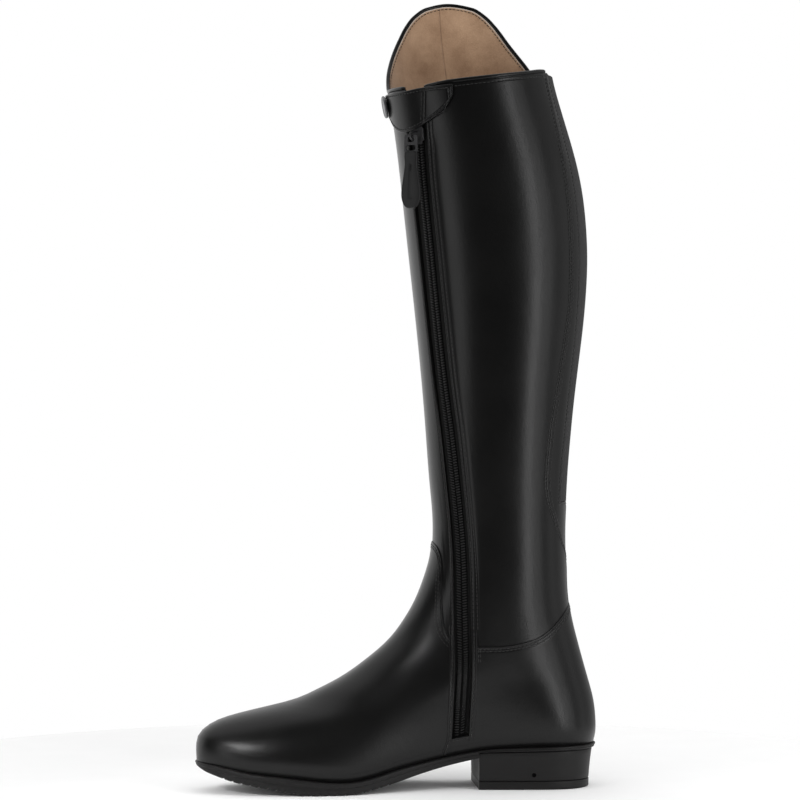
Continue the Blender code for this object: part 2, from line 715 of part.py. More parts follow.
def tread_stations():
    """Places along the forefoot where the tread's bars turn, with how far each lies up."""
    places = []
    for bar in range(TREAD_BARS):
        start = TREAD_START + bar * TREAD_PITCH
        places += [(start, 0.0), (start + TREAD_FLAT, 0.0), (start + TREAD_RAMP, TREAD_DEPTH)]
    return places


def build_outsole():
    breast = HEEL_BREAST - GAP
    first_turn = sole_turn(TREAD_START)
    toe = [(sole_edge(step / 7 * first_turn, 0)[1], 0.0) for step in range(7)]
    last_bar = TREAD_START + TREAD_BARS * TREAD_PITCH
    waist = [(last_bar + step / 6 * (breast - last_bar), 0.0) for step in range(7)]
    seat_turn = sole_turn(breast + STEP_LEAN)
    seat = [(sole_edge(seat_turn + step / 10 * (1 - seat_turn), 0)[1], None)
            for step in range(11)]
    stations = []
    for along, lift in toe + tread_stations() + waist + seat:
        turn = sole_turn(along)
        top = SOLE.at(along, "top")
        if lift is None:
            bottom = HEEL_SEAT.at(along, "bottom")
        else:
            bottom = TREAD.at(along, "bottom") + lift
        sides = []
        for side in (1, -1):
            sides.append([(*sole_edge(side * turn, out), top + share * (bottom - top))
                          for share, out in SOLE_SIDE])
        stations.append(sides)
    ladder("outsole", stations, MATERIALS["black_rubber"])


def heel_stations(levels):
    """Stations from the breast to the back, each level being an inset and a height."""
    stations = []
    for step in range(12):
        sides = []
        for side, breast in ((1, HEEL_BREAST), (-1, HEEL_BREAST + BREAST_SKEW)):
            start = sole_turn(breast)
            turn = start + step / 11 * (1 - start)
            points = []
            for inset, height in levels:
                across, along = sole_edge(side * turn, -inset)
                points.append((across, along, height(along)))
            sides.append(points)
        stations.append(sides)
    return stations


def build_heel():
    bottom_inset = HEEL_INSET + HEEL_TAPER
    ladder("heel_block", heel_stations((
        (HEEL_INSET, lambda along: HEEL_SEAT.at(along, "bottom") - GAP),
        (bottom_inset, lambda along: TOP_PIECE + GAP))), MATERIALS["black_rubber"])
    ladder("heel_top_piece", heel_stations((
        (bottom_inset, lambda along: TOP_PIECE),
        (bottom_inset, lambda along: BEVEL_HIGH),
        (bottom_inset + BEVEL_IN, lambda along: 0.0))), MATERIALS["black_rubber"])


def build_insole():
    stations = []
    for step in range(25):
        sides = []
        for side in (1, -1):
            place = skin(0, side * step / 24, -WALL - INSOLE_INSET)
            seat = SOLE.at(place.y, "top") + GAP
            sides.append([(place.x, place.y, seat + INSOLE_THICK), (place.x, place.y, seat)])
        stations.append(sides)
    ladder("insole", stations, MATERIALS["tan_lining"])


def slider_place():
    """The slider's seat on the teeth, and its directions across, up the zip and out."""
    rise = SLIDER_HEIGHT
    seat = skin(rise, zip_turn(rise), COIL_TOP + GAP)
    out = last_normal(rise, zip_turn(rise))
    low = rise - SLIDER_LENGTH / 2
    high = rise + SLIDER_LENGTH / 2
    up = last_point(high, zip_turn(high)) - last_point(low, zip_turn(low))
    up = (up - up.dot(out) * out).normalized()
    return seat, up.cross(out), up, out


def box(name, size, middle):
    """A box part in its own directions, from its size and middle in millimetres."""
    mesh = bpy.data.meshes.new(name)
    shape = bmesh.new()
    bmesh.ops.create_cube(shape, size=1)
    bmesh.ops.scale(shape, verts=shape.verts, vec=Vector(size) * MM)
    bmesh.ops.translate(shape, verts=shape.verts, vec=Vector(middle) * MM)
    shape.to_mesh(mesh)
    shape.free()
    return mesh


def cutter(name, mesh):
    thing = bpy.data.objects.new(name, mesh)
    CUTTERS.objects.link(thing)
    thing.hide_render = True
    thing.display_type = "WIRE"
    return thing


def boolean(part, other, operation):
    change = part.modifiers.new(other.name, "BOOLEAN")
    change.operation = operation
    change.object = other


def build_slider():
    seat, across, up, out = slider_place()
    frame = Matrix((across, up, out)).transposed().to_4x4()
    frame.translation = seat * MM
    height = SLIDER_PLATE + SLIDER_FLANGE
    body = box("zip_slider", (SLIDER_WIDTH, SLIDER_LENGTH, height),
               (0, 0, SLIDER_PLATE - height / 2))
    slider = add_part("zip_slider", body, MATERIALS["dark_metal"])
    bevel = slider.modifiers.new("rounded_edges", "BEVEL")
    bevel.width = SLIDER_ROUND * MM
    channel_width = SLIDER_WIDTH - 2 * SLIDER_FLANGE
    channel = cutter("slider_channel", box(
        "slider_channel", (channel_width, 2 * SLIDER_LENGTH, 2 * SLIDER_FLANGE),
        (0, 0, -SLIDER_FLANGE)))
    boolean(slider, channel, "DIFFERENCE")
    low = SLIDER_PLATE / 2
    axis = SLIDER_PLATE + BRIDGE_LEG
    arch = [(0, BRIDGE_RADIUS, low)]
    for step in range(BRIDGE_STEPS + 1):
        angle = math.pi * step / BRIDGE_STEPS
        arch.append((0, BRIDGE_RADIUS * math.cos(angle), axis + BRIDGE_RADIUS * math.sin(angle)))
    arch.append((0, -BRIDGE_RADIUS, low))
    wire = tube("slider_bridge", arch, BRIDGE_WIRE, MATERIALS["dark_metal"])
    BOOT.objects.unlink(wire)
    CUTTERS.objects.link(wire)
    wire.hide_render = True
    wire.display_type = "WIRE"
    boolean(slider, wire, "UNION")
    for thing in (slider, channel, wire):
        thing.matrix_world = frame


def outline_curve(name, outlines, thickness, rounding=0.0):
    """A flat piece from outlines in its own plane, with its edges rounded."""
    curve = bpy.data.curves.new(name, "CURVE")
    curve.dimensions = "2D"
    curve.fill_mode = "BOTH"
    curve.extrude = (thickness / 2 - rounding) * MM
    curve.bevel_depth = rounding * MM
    curve.offset = -rounding * MM
    curve.bevel_resolution = 1
    for outline in outlines:
        line = curve.splines.new("POLY")
        line.points.add(len(outline) - 1)
        line.use_cyclic_u = True
        for knot, (x, y) in zip(line.points, outline):
            knot.co = (x * MM, y * MM, 0, 1)
    return curve


def rounded_box(left, right, low, high, radius, steps=3):
    points = []
    for corner_x, corner_y, start in ((right, high, 0), (left, high, 90), (left, low, 180),
                                      (right, low, 270)):
        middle_x = corner_x - math.copysign(radius, corner_x - (left + right) / 2)
        middle_y = corner_y - math.copysign(radius, corner_y - (low + high) / 2)
        for step in range(steps + 1):
            angle = math.radians(start + 90 * step / steps)
            points.append((middle_x + radius * math.cos(angle),
                           middle_y + radius * math.sin(angle)))
    return points


def build_pull():
    seat, across, up, out = slider_place()
    facing = math.radians(PULL_FACING)
    outward = Vector((math.cos(facing), math.sin(facing), 0))
    axis = Vector((0, 0, -1)).cross(outward)
    middle = seat + (SLIDER_PLATE + BRIDGE_LEG) * out + PULL_SIDESTEP * axis
    hinge = bpy.data.objects.new("zip_pull_hinge", None)
    BOOT.objects.link(hinge)
    frame = Matrix((axis, Vector((0, 0, 1)), axis.cross(Vector((0, 0, 1))))).transposed().to_4x4()
    frame.translation = middle * MM
    hinge.matrix_world = frame
    half = FRAME_WIDTH / 2
    plate = outline_curve("zip_pull_frame", (
        rounded_box(-half, half, -FRAME_BOTTOM, FRAME_TOP, FRAME_ROUND),
        rounded_box(-EYE_HALF, EYE_HALF, -EYE_LOW, -FRAME_TOP, EYE_ROUND),
        rounded_box(-HOLE_HALF, HOLE_HALF, -HOLE_LOW, -HOLE_TOP, HOLE_ROUND)), FRAME_THICK)
    metal = curve_part("zip_pull_frame", plate, MATERIALS["dark_metal"])
    drops = GRIP.keys
    grip_line = [(GRIP.at(drop, "half"), -drop) for drop in drops]
    grip_line += [(-x, y) for x, y in reversed(grip_line)]
    grip = curve_part("zip_pull_grip", outline_curve(
        "zip_pull_grip", (grip_line,), GRIP_THICK, GRIP_ROUND), MATERIALS["black_plastic"])
    pocket = cutter("grip_pocket", box(
        "grip_pocket", (FRAME_WIDTH + 2 * GAP, FRAME_BOTTOM + GAP - POCKET, FRAME_THICK + 2 * GAP),
        (0, -(FRAME_BOTTOM + GAP + POCKET) / 2, 0)))
    boolean(grip, pocket, "DIFFERENCE")
    for thing in (metal, grip, pocket):
        thing.parent = hinge


def make_material(name, colour, roughness, metallic=0.0):
    material = bpy.data.materials.new(name)
    material.use_nodes = True
    shader = material.node_tree.nodes["Principled BSDF"]
    shader.inputs["Base Color"].default_value = (*colour, 1)
    shader.inputs["Roughness"].default_value = roughness
    shader.inputs["Metallic"].default_value = metallic
    return material


def clear_scene():
    for thing in list(bpy.data.objects):
        bpy.data.objects.remove(thing)


clear_scene()
BOOT = bpy.data.collections.new("dress_riding_boot")
CUTTERS = bpy.data.collections.new("cutters")
bpy.context.scene.collection.children.link(BOOT)
bpy.context.scene.collection.children.link(CUTTERS)
MATERIALS = {
    "black_leather": make_material("black_leather", (0.012, 0.012, 0.012), 0.38),
    "black_elastic": make_material("black_elastic", (0.02, 0.02, 0.021), 0.75),
    "black_rubber": make_material("black_rubber", (0.02, 0.019, 0.019), 0.62),
    "black_tape": make_material("black_tape", (0.009, 0.009, 0.009), 0.85),
    "black_coil": make_material("black_coil", (0.014, 0.014, 0.014), 0.45),
    "black_plastic": make_material("black_plastic", (0.03, 0.03, 0.031), 0.5),
    "dark_metal": make_material("dark_metal", (0.05, 0.05, 0.052), 0.35, 0.9),
    "tan_lining": make_material("tan_lining", (0.26, 0.17, 0.11), 0.85),
}
build_upper()
build_elastic()
build_zip()
build_tab()
build_button()
build_piping()
build_outsole()
build_heel()
build_insole()
build_slider()
build_pull()
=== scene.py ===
# Dress riding boot for the right foot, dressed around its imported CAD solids.
# Sizes in the tables are in millimetres: toe to -Y, inner side to +X, floor at height 0.
import math

import bpy
import numpy as np
from mathutils import Matrix, Vector


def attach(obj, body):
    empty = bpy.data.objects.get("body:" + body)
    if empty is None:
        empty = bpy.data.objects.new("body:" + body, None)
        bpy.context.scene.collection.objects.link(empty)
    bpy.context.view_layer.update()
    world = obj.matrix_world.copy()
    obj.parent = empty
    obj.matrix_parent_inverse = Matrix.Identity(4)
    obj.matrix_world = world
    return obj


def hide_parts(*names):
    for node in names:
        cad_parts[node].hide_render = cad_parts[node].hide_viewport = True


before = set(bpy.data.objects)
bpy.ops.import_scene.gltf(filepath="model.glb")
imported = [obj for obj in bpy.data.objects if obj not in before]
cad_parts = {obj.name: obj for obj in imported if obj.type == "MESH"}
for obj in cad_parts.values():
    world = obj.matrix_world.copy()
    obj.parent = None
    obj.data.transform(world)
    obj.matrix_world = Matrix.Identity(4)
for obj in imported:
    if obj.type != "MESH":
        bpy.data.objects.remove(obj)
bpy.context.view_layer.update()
mm = 0.001


class SizeTable:
    # rows of named sizes over a rising first column, read along a smooth curve

    def __init__(self, names, *rows, steady=False):
        self.keys = np.array([row[0] for row in rows], float)
        self.curves = {}
        for place, name in enumerate(names.split()):
            values = np.array([row[place] for row in rows], float)
            self.curves[name] = (values, self.slopes(values, steady))

    def slopes(self, values, steady):
        steps = np.diff(self.keys)
        rates = np.diff(values) / steps
        if steady:
            product = rates[:-1] * rates[1:]
            total = np.where(product > 0, rates[:-1] + rates[1:], 1.0)
            inner = np.where(product > 0, 2 * product / total, 0.0)
            return np.concatenate((rates[:1], inner, rates[-1:]))
        count = len(values)
        matrix = np.zeros((count, count))
        right = np.zeros(count)
        matrix[0, :2] = (2, 1)
        matrix[-1, -2:] = (1, 2)
        right[0] = 3 * rates[0]
        right[-1] = 3 * rates[-1]
        for row in range(1, count - 1):
            before = 1 / steps[row - 1]
            after = 1 / steps[row]
            matrix[row, row - 1:row + 2] = (before, 2 * (before + after), after)
            right[row] = 3 * (rates[row - 1] * before + rates[row] * after)
        return np.linalg.solve(matrix, right)

    def at(self, key, name):
        values, slopes = self.curves[name]
        key = np.clip(key, self.keys[0], self.keys[-1])
        row = np.clip(np.searchsorted(self.keys, key, side="right") - 1, 0, len(self.keys) - 2)
        step = self.keys[row + 1] - self.keys[row]
        t = (key - self.keys[row]) / step
        rise = values[row + 1] - values[row]
        bend = (1 - t) * (slopes[row] * step - rise) - t * (slopes[row + 1] * step - rise)
        return values[row] + t * rise + t * (1 - t) * bend


# ---- the last: the same sizes that the solids have
lastSizes = {
    "gap": 0.3,              # between the sole and the upper
    "ballIn": -138.0,        # where the foot is widest on each side, its waist and heel
    "ballOut": -118.0,
    "waist": -50.0,
    "heel": 10.0,
    "fadeLow": 20.0,         # rings follow the sole below this rise, and lie level above the next
    "fadeHigh": 95.0,
    "levelBelow": 10.0,
}
soleTop = SizeTable(
    "along top",
    (-227, 20.6), (-217, 19.6), (-197, 15.7), (-167, 11.9), (-137, 8.5), (-116, 9.5), (-95, 14.9),
    (-77, 19.0), (-57, 23.2), (-37, 26.6), (0, 28.6), (46, 29.6))
treadLine = SizeTable(
    "along bottom",
    (-227, 17.6), (-222, 14.8), (-214, 12.1), (-203, 8.8), (-190, 6.3), (-177, 4.1), (-162, 1.5),
    (-150, 0), (-128, 0), (-118, 1.2), (-95, 6.6), (-77, 12.0), (-58, 17.0), (-38, 21.6),
    steady=True)
heelSeat = SizeTable("along bottom", (-38, 25.2), (0, 26.0), (46, 26.6))
frontLine = SizeTable(
    "height front",
    (20, -224.6), (28, -225.0), (33, -224.7), (38, -222.9), (43, -217.4), (48.2, -206.0),
    (53, -186.4), (58.5, -162.2), (64.5, -146.7), (71.7, -131.9), (85, -111.6), (98.4, -95.7),
    (112, -85.0), (125.5, -77.1), (139, -71.7), (153, -67.3), (166, -65.7), (180, -65.6),
    (203.5, -67.5), (244, -70.6), (305, -76.1), (355, -81.5), (396, -86.0), (436, -90.7),
    (457, -94.0), (475, -97.4), (540, -106.0))
backLine = SizeTable(
    "height back",
    (29, 42.6), (36, 44.2), (43.5, 44.4), (57, 43.1), (71, 39.6), (84.4, 35.8), (98, 32.1),
    (111.6, 28.7), (125, 26.4), (139, 25.4), (152, 25.2), (173, 25.0), (193, 25.8), (213, 26.9),
    (234, 28.6), (254, 30.5), (275, 32.9), (295, 35.4), (315, 37.7), (336, 39.4), (356, 40.1),
    (376, 39.4), (397, 37.3), (417, 33.6), (437.5, 28.1), (458, 21.9), (475, 17.2), (540, 12.0))
girth = SizeTable(
    "rise heelIn heelOut waistIn waistOut ballIn ballOut nose tail fullness",
    (0, 28.0, 28.0, 25.0, 29.0, 40.5, 41.5, 0.36, 0.13, 2.35),
    (6, 30.0, 30.0, 27.0, 31.5, 42.6, 43.6, 0.37, 0.14, 2.35),
    (14, 31.4, 31.4, 28.6, 33.0, 43.2, 43.8, 0.39, 0.15, 2.3),
    (25, 31.8, 31.8, 30.2, 33.6, 42.0, 42.4, 0.42, 0.17, 2.25),
    (40, 31.6, 31.6, 31.4, 33.4, 39.4, 39.4, 0.47, 0.20, 2.2),
    (60, 31.4, 31.4, 32.4, 33.2, 36.6, 36.6, 0.53, 0.26, 2.15),
    (80, 32.0, 32.0, 33.2, 33.6, 35.2, 35.2, 0.56, 0.34, 2.1),
    (100, 33.2, 33.2, 33.8, 33.8, 34.6, 34.6, 0.55, 0.42, 2.05),
    (120, 34.4, 34.4, 34.4, 34.4, 34.6, 34.6, 0.52, 0.46, 2.0),
    (150, 35.8, 35.8, 35.8, 35.8, 35.8, 35.8, 0.50, 0.49, 2.0),
    (172, 37.0, 37.0, 37.0, 37.0, 37.0, 37.0, 0.50, 0.50, 2.0),
    (226, 41.4, 41.4, 41.4, 41.4, 41.4, 41.4, 0.50, 0.50, 2.0),
    (290, 48.4, 48.4, 48.4, 48.4, 48.4, 48.4, 0.50, 0.50, 2.0),
    (345, 53.2, 53.2, 53.2, 53.2, 53.2, 53.2, 0.50, 0.50, 2.0),
    (385, 54.4, 54.4, 54.4, 54.4, 54.4, 54.4, 0.50, 0.50, 2.0),
    (435, 53.4, 53.4, 53.4, 53.4, 53.4, 53.4, 0.50, 0.50, 2.0),
    (480, 52.6, 52.6, 52.6, 52.6, 52.6, 52.6, 0.50, 0.50, 2.0),
    (540, 52.6, 52.6, 52.6, 52.6, 52.6, 52.6, 0.50, 0.50, 2.0))
centreLine = SizeTable(
    "along across",
    (-227, 8.0), (-160, 3.0), (-110, 0.0), (-50, -1.5), (46, 0.0))
footSeam = SizeTable(
    "turn height",
    (0, 165.4), (0.09, 162.6), (0.145, 156.5), (0.186, 144), (0.235, 128), (0.28, 115),
    (0.333, 105), (0.38, 99.3), (0.44, 96.4), (0.535, 96.5), (0.6, 98), (0.67, 101.3),
    (0.73, 106.5), (0.8, 113.5), (0.9, 120.5), (1, 123.5), steady=True)
topIn = SizeTable(
    "turn height",
    (0, 466.8), (0.25, 466.8), (0.37, 469.6), (0.5, 472.2), (0.7, 476.8), (0.78, 478.8),
    (0.825, 479.4), (0.838, 480.2), (0.86, 479), (1, 478.8), steady=True)
topOut = SizeTable(
    "turn height",
    (0, 466.8), (0.03, 467.4), (0.07, 471.6), (0.12, 480), (0.17, 488.6), (0.26, 506),
    (0.305, 515.6), (0.35, 523.4), (0.405, 529.2), (0.49, 532.2), (0.575, 529.6), (0.62, 524.4),
    (0.66, 516.8), (0.715, 503.6), (0.78, 489.9), (0.825, 481), (0.838, 480.2), (0.86, 479),
    (1, 478.8), steady=True)
zipLine = SizeTable(
    "height along",
    (30, -51.0), (38, -50.8), (61, -50.0), (81, -49.2), (115, -49.8), (161, -51.3), (208, -55.8),
    (240, -59.4), (271, -63.4), (301, -66.8), (340, -70.9), (360, -72.9), (390, -76.0),
    (413, -78.0), (440, -80.0), (466, -82.4))
zipSlot = SizeTable(
    # from the zip's line to the leather's edges, and to the middle of the teeth
    "rise front rear teeth",
    (0, 5.4, 6.4, 0), (40, 5.4, 6.4, 0), (82, 5.5, 6.0, 0), (114, 5.4, 6.1, 0.1),
    (144, 5.4, 6.6, 0.4), (174, 5.7, 7.3, 0.8), (204, 6.0, 7.8, 1.0), (264, 6.7, 8.6, 1.0),
    (324, 7.6, 9.2, 1.0), (384, 8.4, 9.0, 1.0), (425, 8.8, 8.4, 0.45), (540, 9.0, 8.2, 0.45),
    steady=True)
backLines = SizeTable(
    "height groove elastic",
    (0, 0.80, 0.88), (100, 0.83, 0.90), (130, 0.885, 0.93), (153, 0.92, 0.955), (168, 0.858, 0.91),
    (180, 0.795, 0.86), (192, 0.745, 0.822), (207, 0.721, 0.822), (241, 0.728, 0.836),
    (268, 0.748, 0.838), (301, 0.763, 0.834), (328, 0.773, 0.829), (361, 0.771, 0.826),
    (394, 0.776, 0.828), (428, 0.792, 0.839), (455, 0.815, 0.852), (480, 0.831, 0.857),
    (540, 0.85, 0.87), steady=True)


def ease(value, low, high):
    share = np.clip((value - low) / (high - low), 0.0, 1.0)
    return share * share * (3 - 2 * share)


def ringHeight(rise, along):
    fade = ease(rise, lastSizes["fadeLow"], lastSizes["fadeHigh"])
    return lastSizes["gap"] + rise + (1 - fade) * soleTop.at(along, "top")


def solve(wanted, function, low, high, steps=30):
    low = np.array(low, float)
    high = np.array(high, float)
    for _ in range(steps):
        middle = (low + high) / 2
        under = function(middle) < wanted
        low = np.where(under, middle, low)
        high = np.where(under, high, middle)
    return (low + high) / 2


def sideWidth(along, inner, heel, waist, ball):
    widest = np.where(inner, lastSizes["ballIn"], lastSizes["ballOut"])
    front = ball + (waist - ball) * ease(along, widest, lastSizes["waist"])
    return front + (heel - waist) * ease(along, lastSizes["waist"], lastSizes["heel"])


def planPoint(shape, turn):
    # turn runs from 0 at the front to 1 at the back over the inner side, and to -1 over the outer
    turn = np.where(np.abs(turn) > 1, turn - np.copysign(2, turn), turn)
    inner = turn >= 0
    length = shape["back"] - shape["front"]
    reach = length * (1 - np.cos(np.pi * turn)) / 2
    along = shape["front"] + reach
    half = sideWidth(
        along, inner, np.where(inner, shape["heelIn"], shape["heelOut"]),
        np.where(inner, shape["waistIn"], shape["waistOut"]),
        np.where(inner, shape["ballIn"], shape["ballOut"]))
    for distance, share in ((reach, shape["nose"]), (length - reach, shape["tail"])):
        short = np.clip(1 - distance / (length * share), 0, 1)
        half = half * np.sqrt(np.clip(1 - short ** shape["fullness"], 0, 1))
    return centreLine.at(along, "across") + np.where(inner, half, -half), along


ringRises = np.array([*range(0, 120, 3), *range(120, 541, 12)], float)
frontHeights = solve(ringRises, lambda z: z - ringHeight(ringRises, frontLine.at(z, "front"))
                     + ringRises, ringRises, ringRises + 40)
backHeights = solve(ringRises, lambda z: z - ringHeight(ringRises, backLine.at(z, "back"))
                    + ringRises, ringRises, ringRises + 40)
ringEnds = SizeTable("rise front back", *zip(
    ringRises, frontLine.at(frontHeights, "front"), backLine.at(backHeights, "back")))


def ringShape(rise):
    shape = {name: girth.at(rise, name) for name in girth.curves if name != "rise"}
    shape["front"] = ringEnds.at(rise, "front")
    shape["back"] = ringEnds.at(rise, "back")
    return shape


def lastPoint(rise, turn):
    rise, turn = np.broadcast_arrays(np.asarray(rise, float), np.asarray(turn, float))
    across, along = planPoint(ringShape(rise), turn)
    return np.stack((across, along, ringHeight(rise, along)), -1)


def unit(vectors):
    return vectors / np.maximum(np.linalg.norm(vectors, axis=-1, keepdims=True), 1e-12)


def lastNormal(rise, turn):
    over = lastPoint(rise, turn + 0.004) - lastPoint(rise, turn - 0.004)
    up = lastPoint(rise + 0.5, turn) - lastPoint(np.maximum(rise - 0.5, 0), turn)
    normal = np.cross(over, up)
    normal[..., 2] *= ease(rise, 0, lastSizes["levelBelow"])
    return unit(normal)


def skin(rise, turn, lift):
    rise, turn, lift = np.broadcast_arrays(
        np.asarray(rise, float), np.asarray(turn, float), np.asarray(lift, float))
    return lastPoint(rise, turn) + lift[..., None] * lastNormal(rise, turn)


def turnAt(rise, along):
    front = ringEnds.at(rise, "front")
    share = np.clip((along - front) / (ringEnds.at(rise, "back") - front), 0, 1)
    return np.arccos(1 - 2 * share) / np.pi


def turnFor(rise, width, turn):
    step = lastPoint(rise, turn + 0.004) - lastPoint(rise, turn - 0.004)
    return width * 0.008 / np.linalg.norm(step, axis=-1)


def zipTurn(rise, shift=0.0):
    middle = turnAt(rise, zipLine.at(ringHeight(rise, lastSizes["waist"]), "along"))
    return middle + turnFor(rise, shift, middle)


def slotTurn(rise, side, beyond=0.0):
    # a line along the zip's opening, side -1 for its front edge and 1 for its rear edge
    return zipTurn(rise, side * (zipSlot.at(rise, "front" if side < 0 else "rear") + beyond))


def backTurn(rise, name, shift=0.0):
    middle = backLines.at(ringHeight(rise, 0.0), name)
    return middle + turnFor(rise, shift, middle)


def fold(turn):
    # the same place on the outer side for a line that runs on past the back
    return np.where(turn > 1, turn - 2, turn)


def seamHeight(turn):
    return footSeam.at(np.abs(fold(turn)), "height")


def topHeight(turn):
    turn = fold(turn)
    return np.where(turn >= 0, topIn.at(np.abs(turn), "height"), topOut.at(np.abs(turn), "height"))


def riseOn(line, heightOf):
    # how high a line of the upper meets an edge; the lines are so upright that this settles
    rise = 200.0
    for _ in range(9):
        rise = float(heightOf(line(rise)))
    return rise


def slantOf(line, rise, heightOf):
    # how much longer a slanting edge is than a level one
    turn = line(rise)
    climb = (heightOf(turn + 0.004) - heightOf(turn - 0.004)) / 0.008
    return math.hypot(1, float(climb * turnFor(rise, 1.0, turn)))


def between(first, last, share):
    return lambda rise: first(rise) + share * (last(rise) - first(rise))


def fill(first, last, count):
    return [between(first, last, step / count) for step in range(count)]


print("the last is set out")


# ---- meshes from grids
def makePiece(name, points, faces, material, sharp=38):
    points = np.asarray(points, float).reshape(-1, 3) * mm
    used, faces4 = np.unique(np.concatenate([np.asarray(face).ravel() for face in faces]),
                             return_inverse=True)
    shaped = []
    start = 0
    for face in faces:
        face = np.asarray(face)
        shaped += faces4[start:start + face.size].reshape(face.shape).tolist()
        start += face.size
    mesh = bpy.data.meshes.new(name)
    mesh.from_pydata(points[used].tolist(), [], shaped)
    mesh.shade_smooth()
    mesh.set_sharp_from_angle(angle=math.radians(sharp))
    piece = bpy.data.objects.new(name, mesh)
    bpy.context.scene.collection.objects.link(piece)
    mesh.materials.append(material)
    return piece


def gridFaces(cells, columns, start, flip=False):
    row, column = np.nonzero(cells)
    after = (column + 1) % columns
    faces = np.stack((row * columns + column, row * columns + after,
                      (row + 1) * columns + after, (row + 1) * columns + column), -1) + start
    return faces[:, ::-1] if flip else faces


def wallFaces(cells, columns, start, closed):
    # the cut edges between an outer and an inner grid
    faces = []
    size = (cells.shape[0] + 1) * columns
    padded = np.pad(cells, 1)
    if closed:
        padded[1:-1, 0] = cells[:, -1]
        padded[1:-1, -1] = cells[:, 0]
    row, column = np.nonzero(cells)
    after = (column + 1) % columns
    corners = [row * columns + column, row * columns + after,
               (row + 1) * columns + after, (row + 1) * columns + column]
    for index, (down, over) in enumerate(((-1, 0), (0, 1), (1, 0), (0, -1))):
        bare = ~padded[row + 1 + down, column + 1 + over]
        first = corners[index][bare] + start
        last = corners[(index + 1) % 4][bare] + start
        faces.append(np.stack((last, first, first + size, last + size), -1))
    return np.concatenate(faces)


def wall(name, outer, inner, material, cells=None, closed=False, sharp=38):
    rows, columns = outer.shape[:2]
    if cells is None:
        cells = np.ones((rows - 1, columns if closed else columns - 1), bool)
    points = np.concatenate((outer.reshape(-1, 3), inner.reshape(-1, 3)))
    faces = [gridFaces(cells, columns, 0), gridFaces(cells, columns, rows * columns, flip=True),
             wallFaces(cells, columns, 0, closed)]
    return makePiece(name, points, faces, material, sharp)


def rounded(distance, radius):
    # how far a cut edge of leather drops beside its rim
    near = np.clip(1 - distance / radius, 0, 1)
    return radius * (1 - np.sqrt(1 - near * near))


def pinched(distance, rows, depth, width=0.45):
    # the leather is drawn in a little along its rows of stitches
    total = 0.0
    for row in rows:
        total = total + depth * np.exp(-((distance - row) / width) ** 2)
    return total


def tubePiece(name, centres, outs, radius, material, sides=14, flat=1.0):
    # a round cord along centres; outs are directions square to it
    centres = np.asarray(centres, float)
    outs = np.asarray(outs, float)
    along = unit(np.gradient(centres, axis=0))
    outs = unit(outs - np.sum(outs * along, -1, keepdims=True) * along)
    besides = np.cross(along, outs)
    angles = np.arange(sides) * 2 * np.pi / sides
    tip = np.minimum(np.arange(len(centres)), np.arange(len(centres))[::-1])
    reach = radius * np.array([0.45, 0.85, 1.0])[np.minimum(tip, 2)]
    rings = (centres[:, None] + reach[:, None, None] * (
        np.cos(angles)[None, :, None] * outs[:, None]
        + flat * np.sin(angles)[None, :, None] * besides[:, None]))
    cells = np.ones((len(centres) - 1, sides), bool)
    last = (len(centres) - 1) * sides
    faces = [gridFaces(cells, sides, 0), np.arange(sides)[None, ::-1],
             (last + np.arange(sides))[None, :]]
    return makePiece(name, rings, faces, material, 60)


# ---- finishes
class Wire:
    # an output socket that can be reckoned with like a number

    def __init__(self, book, socket):
        self.book = book
        self.socket = socket

    def __add__(self, other):
        return self.book.maths("ADD", self, other)

    def __radd__(self, other):
        return self.book.maths("ADD", other, self)

    def __sub__(self, other):
        return self.book.maths("SUBTRACT", self, other)

    def __rsub__(self, other):
        return self.book.maths("SUBTRACT", other, self)

    def __mul__(self, other):
        return self.book.maths("MULTIPLY", self, other)

    def __rmul__(self, other):
        return self.book.maths("MULTIPLY", other, self)


